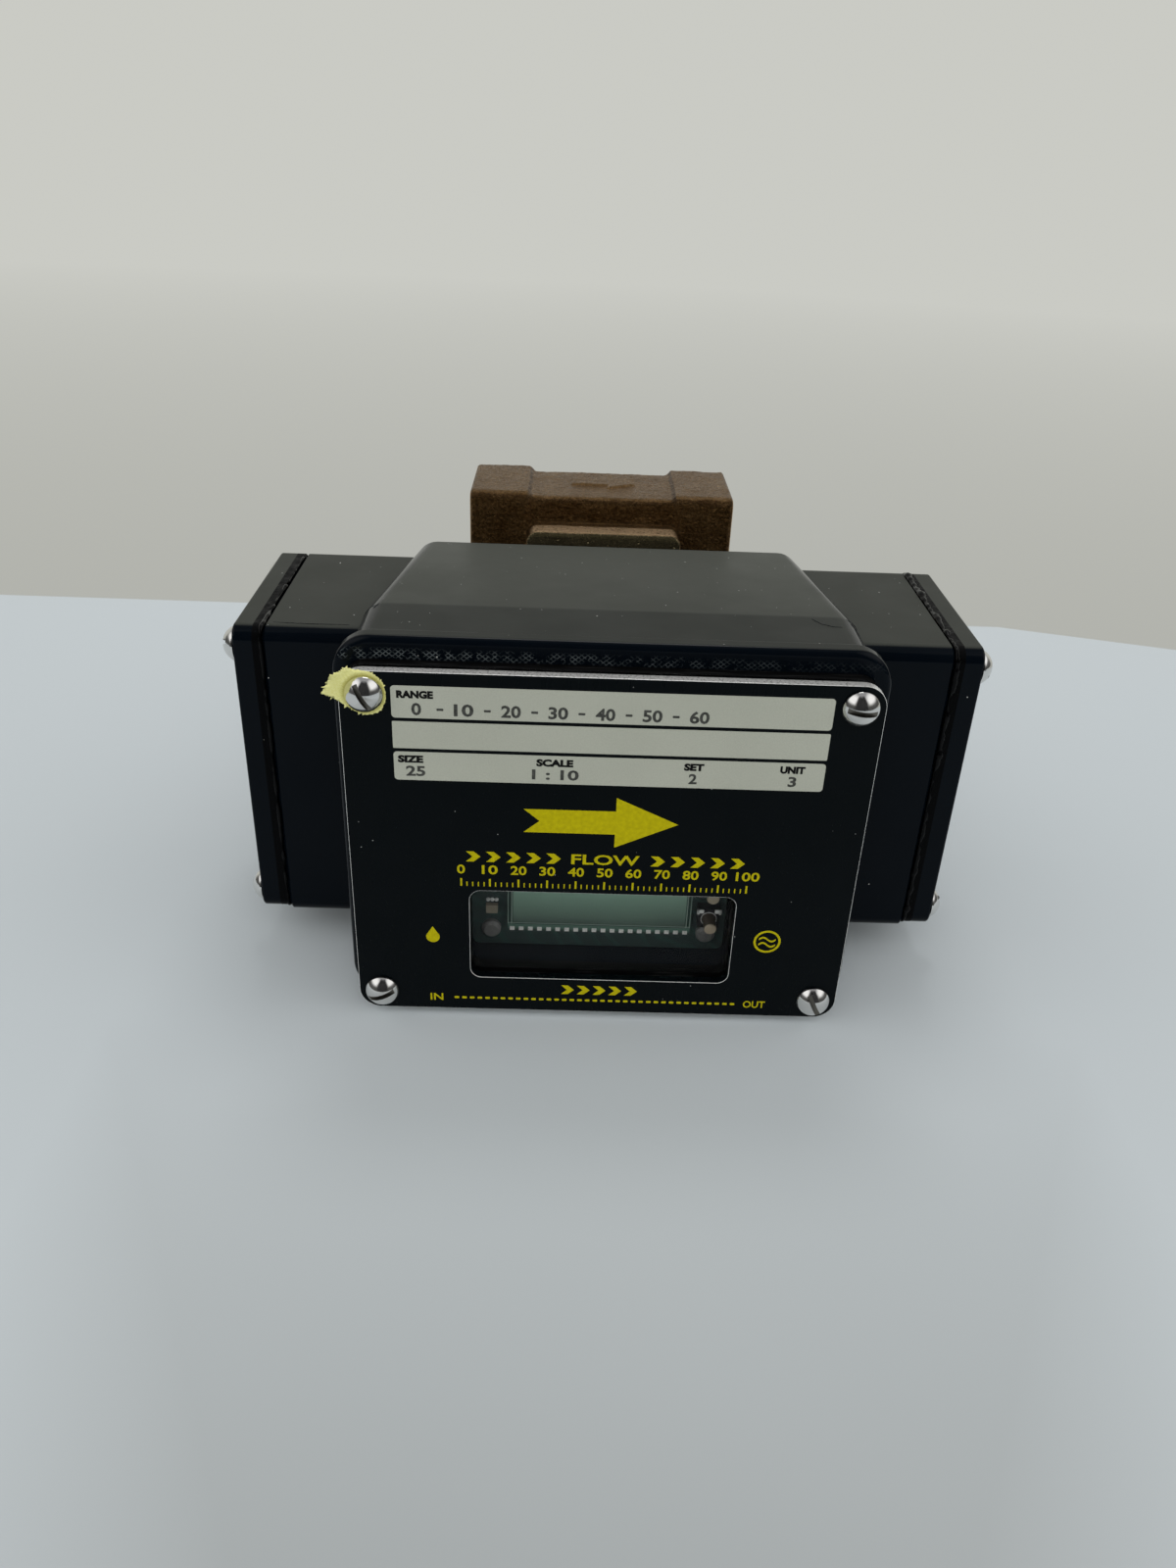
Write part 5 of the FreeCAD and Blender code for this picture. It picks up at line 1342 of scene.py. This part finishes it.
path = give(bead_tree, "GeometryNodeSetPosition", {"Geometry": path, "Offset": wander})
profile = {"Resolution": 8, "Radius": start["Radius"]}
profile = give(bead_tree, "GeometryNodeCurvePrimitiveCircle", profile)
swell = Value(lumps[0]).to(0.34, 0.66, 0.25, 1.8)
bead = {"Curve": path, "Profile Curve": profile, "Scale": swell}
bead = give(bead_tree, "GeometryNodeCurveToMesh", bead)
end_tree(start, give(bead_tree, "GeometryNodeSetShadeSmooth", {"Geometry": bead, "Shade Smooth": True}))

sealant = Finish("black_sealant", (0.001, 0.001, 0.0012), 0.2, IOR=1.2)
place = sealant.mm()
skin = place.grain(0.8, 3)
flecks = place.specks(1.6, 0.3, 0.06)
sealant.wear(flecks.mix((0.0008, 0.0008, 0.0010), (0.25, 0.24, 0.21)), skin.to(0.3, 0.7, 0.08, 0.26),
             (skin, 0.05))
print("sealant tree has", len(bead_tree.nodes), "nodes")

# %% Sealant beads
BEAD_INSET = Vector((0, 0.35, 0.35))
for name, radius in (("left", 0.42), ("right", 0.75)):
    low, high = (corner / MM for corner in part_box(name + "_end_gasket"))
    inner_x = high.x if name == "left" else low.x
    low, high = low + BEAD_INSET, high - BEAD_INSET
    joint = [Vector((inner_x, y, z)) * MM for y, z in rounded(low.y, low.z, high.y, high.z, 3.0, 8)]
    mesh = bpy.data.meshes.new(name + "_bead")
    mesh.from_pydata(joint, [(i, (i + 1) % len(joint)) for i in range(len(joint))], [])
    sizes = {"Step": 0.8 * MM, "Radius": radius * MM, "Wander": 0.9 * MM, "Lumps Per Metre": 200.0}
    bead = grow(name + "_sealant_bead", mesh, bead_tree, sizes, sealant)
    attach(bead, "case")


# %% [markdown]
# ## Dust and cracked paint
# A few grains of lint lie on the flat tops, and the coat has cracked at the box's front corners. Lint is
# scattered by a Geometry Nodes tree over upward faces with a fixed seed. A crack is a thin raised lip of
# paint, laid where rays sent straight down meet the box.

# %% Lint
lint_tree, start = start_tree("lint", "Density", "Grain")
upward = give(lint_tree, "GeometryNodeInputNormal").axes()[2]
tops = give(lint_tree, "FunctionNodeCompare", {"A": upward, "B": 0.9}, operation="GREATER_THAN")
scatter = {"Mesh": start["Geometry"], "Selection": tops, "Density": start["Density"], "Seed": 7}
scatter = give(lint_tree, "GeometryNodeDistributePointsOnFaces", scatter)
fleck = give(lint_tree, "GeometryNodeMeshIcoSphere", {"Radius": start["Grain"], "Subdivisions": 1})
stretch = {"Min": (0.4, 0.4, 0.2), "Max": (2.2, 1.0, 0.6), "Seed": 3}
stretch = give(lint_tree, "FunctionNodeRandomValue", stretch, data_type="FLOAT_VECTOR")
spin = {"Min": (0, 0, 0), "Max": (0, 0, 6.28), "Seed": 5}
spin = give(lint_tree, "FunctionNodeRandomValue", spin, data_type="FLOAT_VECTOR")
placed = {"Points": scatter, "Instance": fleck, "Rotation": spin, "Scale": stretch}
end_tree(start, give(lint_tree, "GeometryNodeInstanceOnPoints", placed))

lint_finish = one_grain("lint", (0.50, 0.50, 0.48), 0.9, 0.0, 0.4, 2,
                        tones=((0.36, 0.36, 0.34), (0.62, 0.62, 0.60)))
housing_mesh = frame["nodes"]["housing"].data
sizes = {"Density": 5200.0, "Grain": 0.11 * MM}
lint_piece = grow("lint_grains", housing_mesh.copy(), lint_tree, sizes, lint_finish)
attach(lint_piece, "case")

# %% Raised lip of paint
CRACK_R = 0.16 * MM
SIDES = 6
UP = Vector((0, 0, 1))
jitter = random.Random(5)


def lip_into(edit, line):
    """Adds a thin uneven lip that follows a line and tapers to both of its ends."""
    rings = []
    for index, point in enumerate(line):
        before = line[max(0, index - 1)]
        after = line[min(len(line) - 1, index + 1)]
        along = (after - before).normalized()
        across = along.cross(UP).normalized()
        over = across.cross(along)
        taper = 0.35 + 0.65 * math.sin(math.pi * (index + 0.5) / len(line))
        size = CRACK_R * taper * jitter.uniform(0.7, 1.2)
        turns = [2 * math.pi * side / SIDES for side in range(SIDES)]
        spots = [point + size * (across * math.cos(t) + over * math.sin(t)) for t in turns]
        rings.append([edit.verts.new(spot) for spot in spots])
    bridge(edit, rings, [(near, near + 1) for near in range(len(rings) - 1)])
    edit.faces.new(rings[0])
    edit.faces.new(rings[-1])


print("a lip is", round(2 * CRACK_R / MM, 2), "mm wide")

# %% Cracks in the coat
CRACKS = (
    ((49.7, -34.5), (51.7, -37.6), (54.3, -39.2), (57.1, -39.6)),
    ((59.3, -32.7), (60.3, -35.9), (61.0, -40.3)),
    ((-58.3, -32.4), (-59.6, -35.3)),
    ((-86.0, -30.0), (-76.0, -30.5), (-66.0, -30.2)),
)
points = [v.co for v in housing_mesh.vertices]
casting = BVHTree.FromPolygons(points, [p.vertices[:] for p in housing_mesh.polygons])
edit = bmesh.new()
for crack in CRACKS:
    line = []
    for (ax, ay), (bx, by) in zip(crack, crack[1:]):
        steps = max(3, int(math.hypot(bx - ax, by - ay) / 0.5))
        for step in range(steps):
            share = step / steps
            x = ax + (bx - ax) * share + jitter.uniform(-0.12, 0.12)
            y = ay + (by - ay) * share + jitter.uniform(-0.12, 0.12)
            hit = casting.ray_cast(Vector((x * MM, y * MM, 0.2)), -UP)[0]
            if hit is not None:
                line.append(hit)
    lip_into(edit, line)
cracks = settle("paint_cracks", close(edit, "paint_cracks", lambda face: True), enamel)
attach(cracks, "case")


# %% [markdown]
# ## Dress the remaining solids
# Solids whose shape is already right stay as they are and only take a finish, the hidden ones too, so that
# the part can be opened. A table of solid to finish is easier to check than assignments all over the file.

# %% Finishes for the solids
dress = {
    "housing": enamel, "left_end_cover": enamel, "right_end_cover": enamel, "window_sheet": clear,
    "front_gasket": seal_rubber, "left_end_gasket": rubber, "right_end_gasket": rubber,
    "body_gasket": rubber, "shaft_seal": rubber, "display_board": board, "main_board": board,
    "lcd_glass": lcd, "switch_bases": switch_case, "lower_button": button_tan, "upper_button": button_tan,
    "display_parts": chip_tan, "sensor_chip": chip_black, "board_screws": zinc, "body_screws": zinc,
    "terminal_screws": steel, "front_standoffs": brass, "rear_standoffs": brass,
    "terminal_block": terminal_green, "shaft_bush": bush_bronze, "rear_bush": bush_bronze,
    "shaft": turned_steel, "vane": turned_steel, "return_spring": turned_steel,
    "spring_anchor": turned_steel, "magnet_carrier": alloy, "magnet": nickel,
}
for name, finish in dress.items():
    for holder in frame["nodes"][name].material_slots:
        holder.material = finish.material
plain = sorted(n for n, o in frame["nodes"].items() if n not in dress and not o.hide_render)
print("dressed", len(dress), "solids; left plain:", plain)
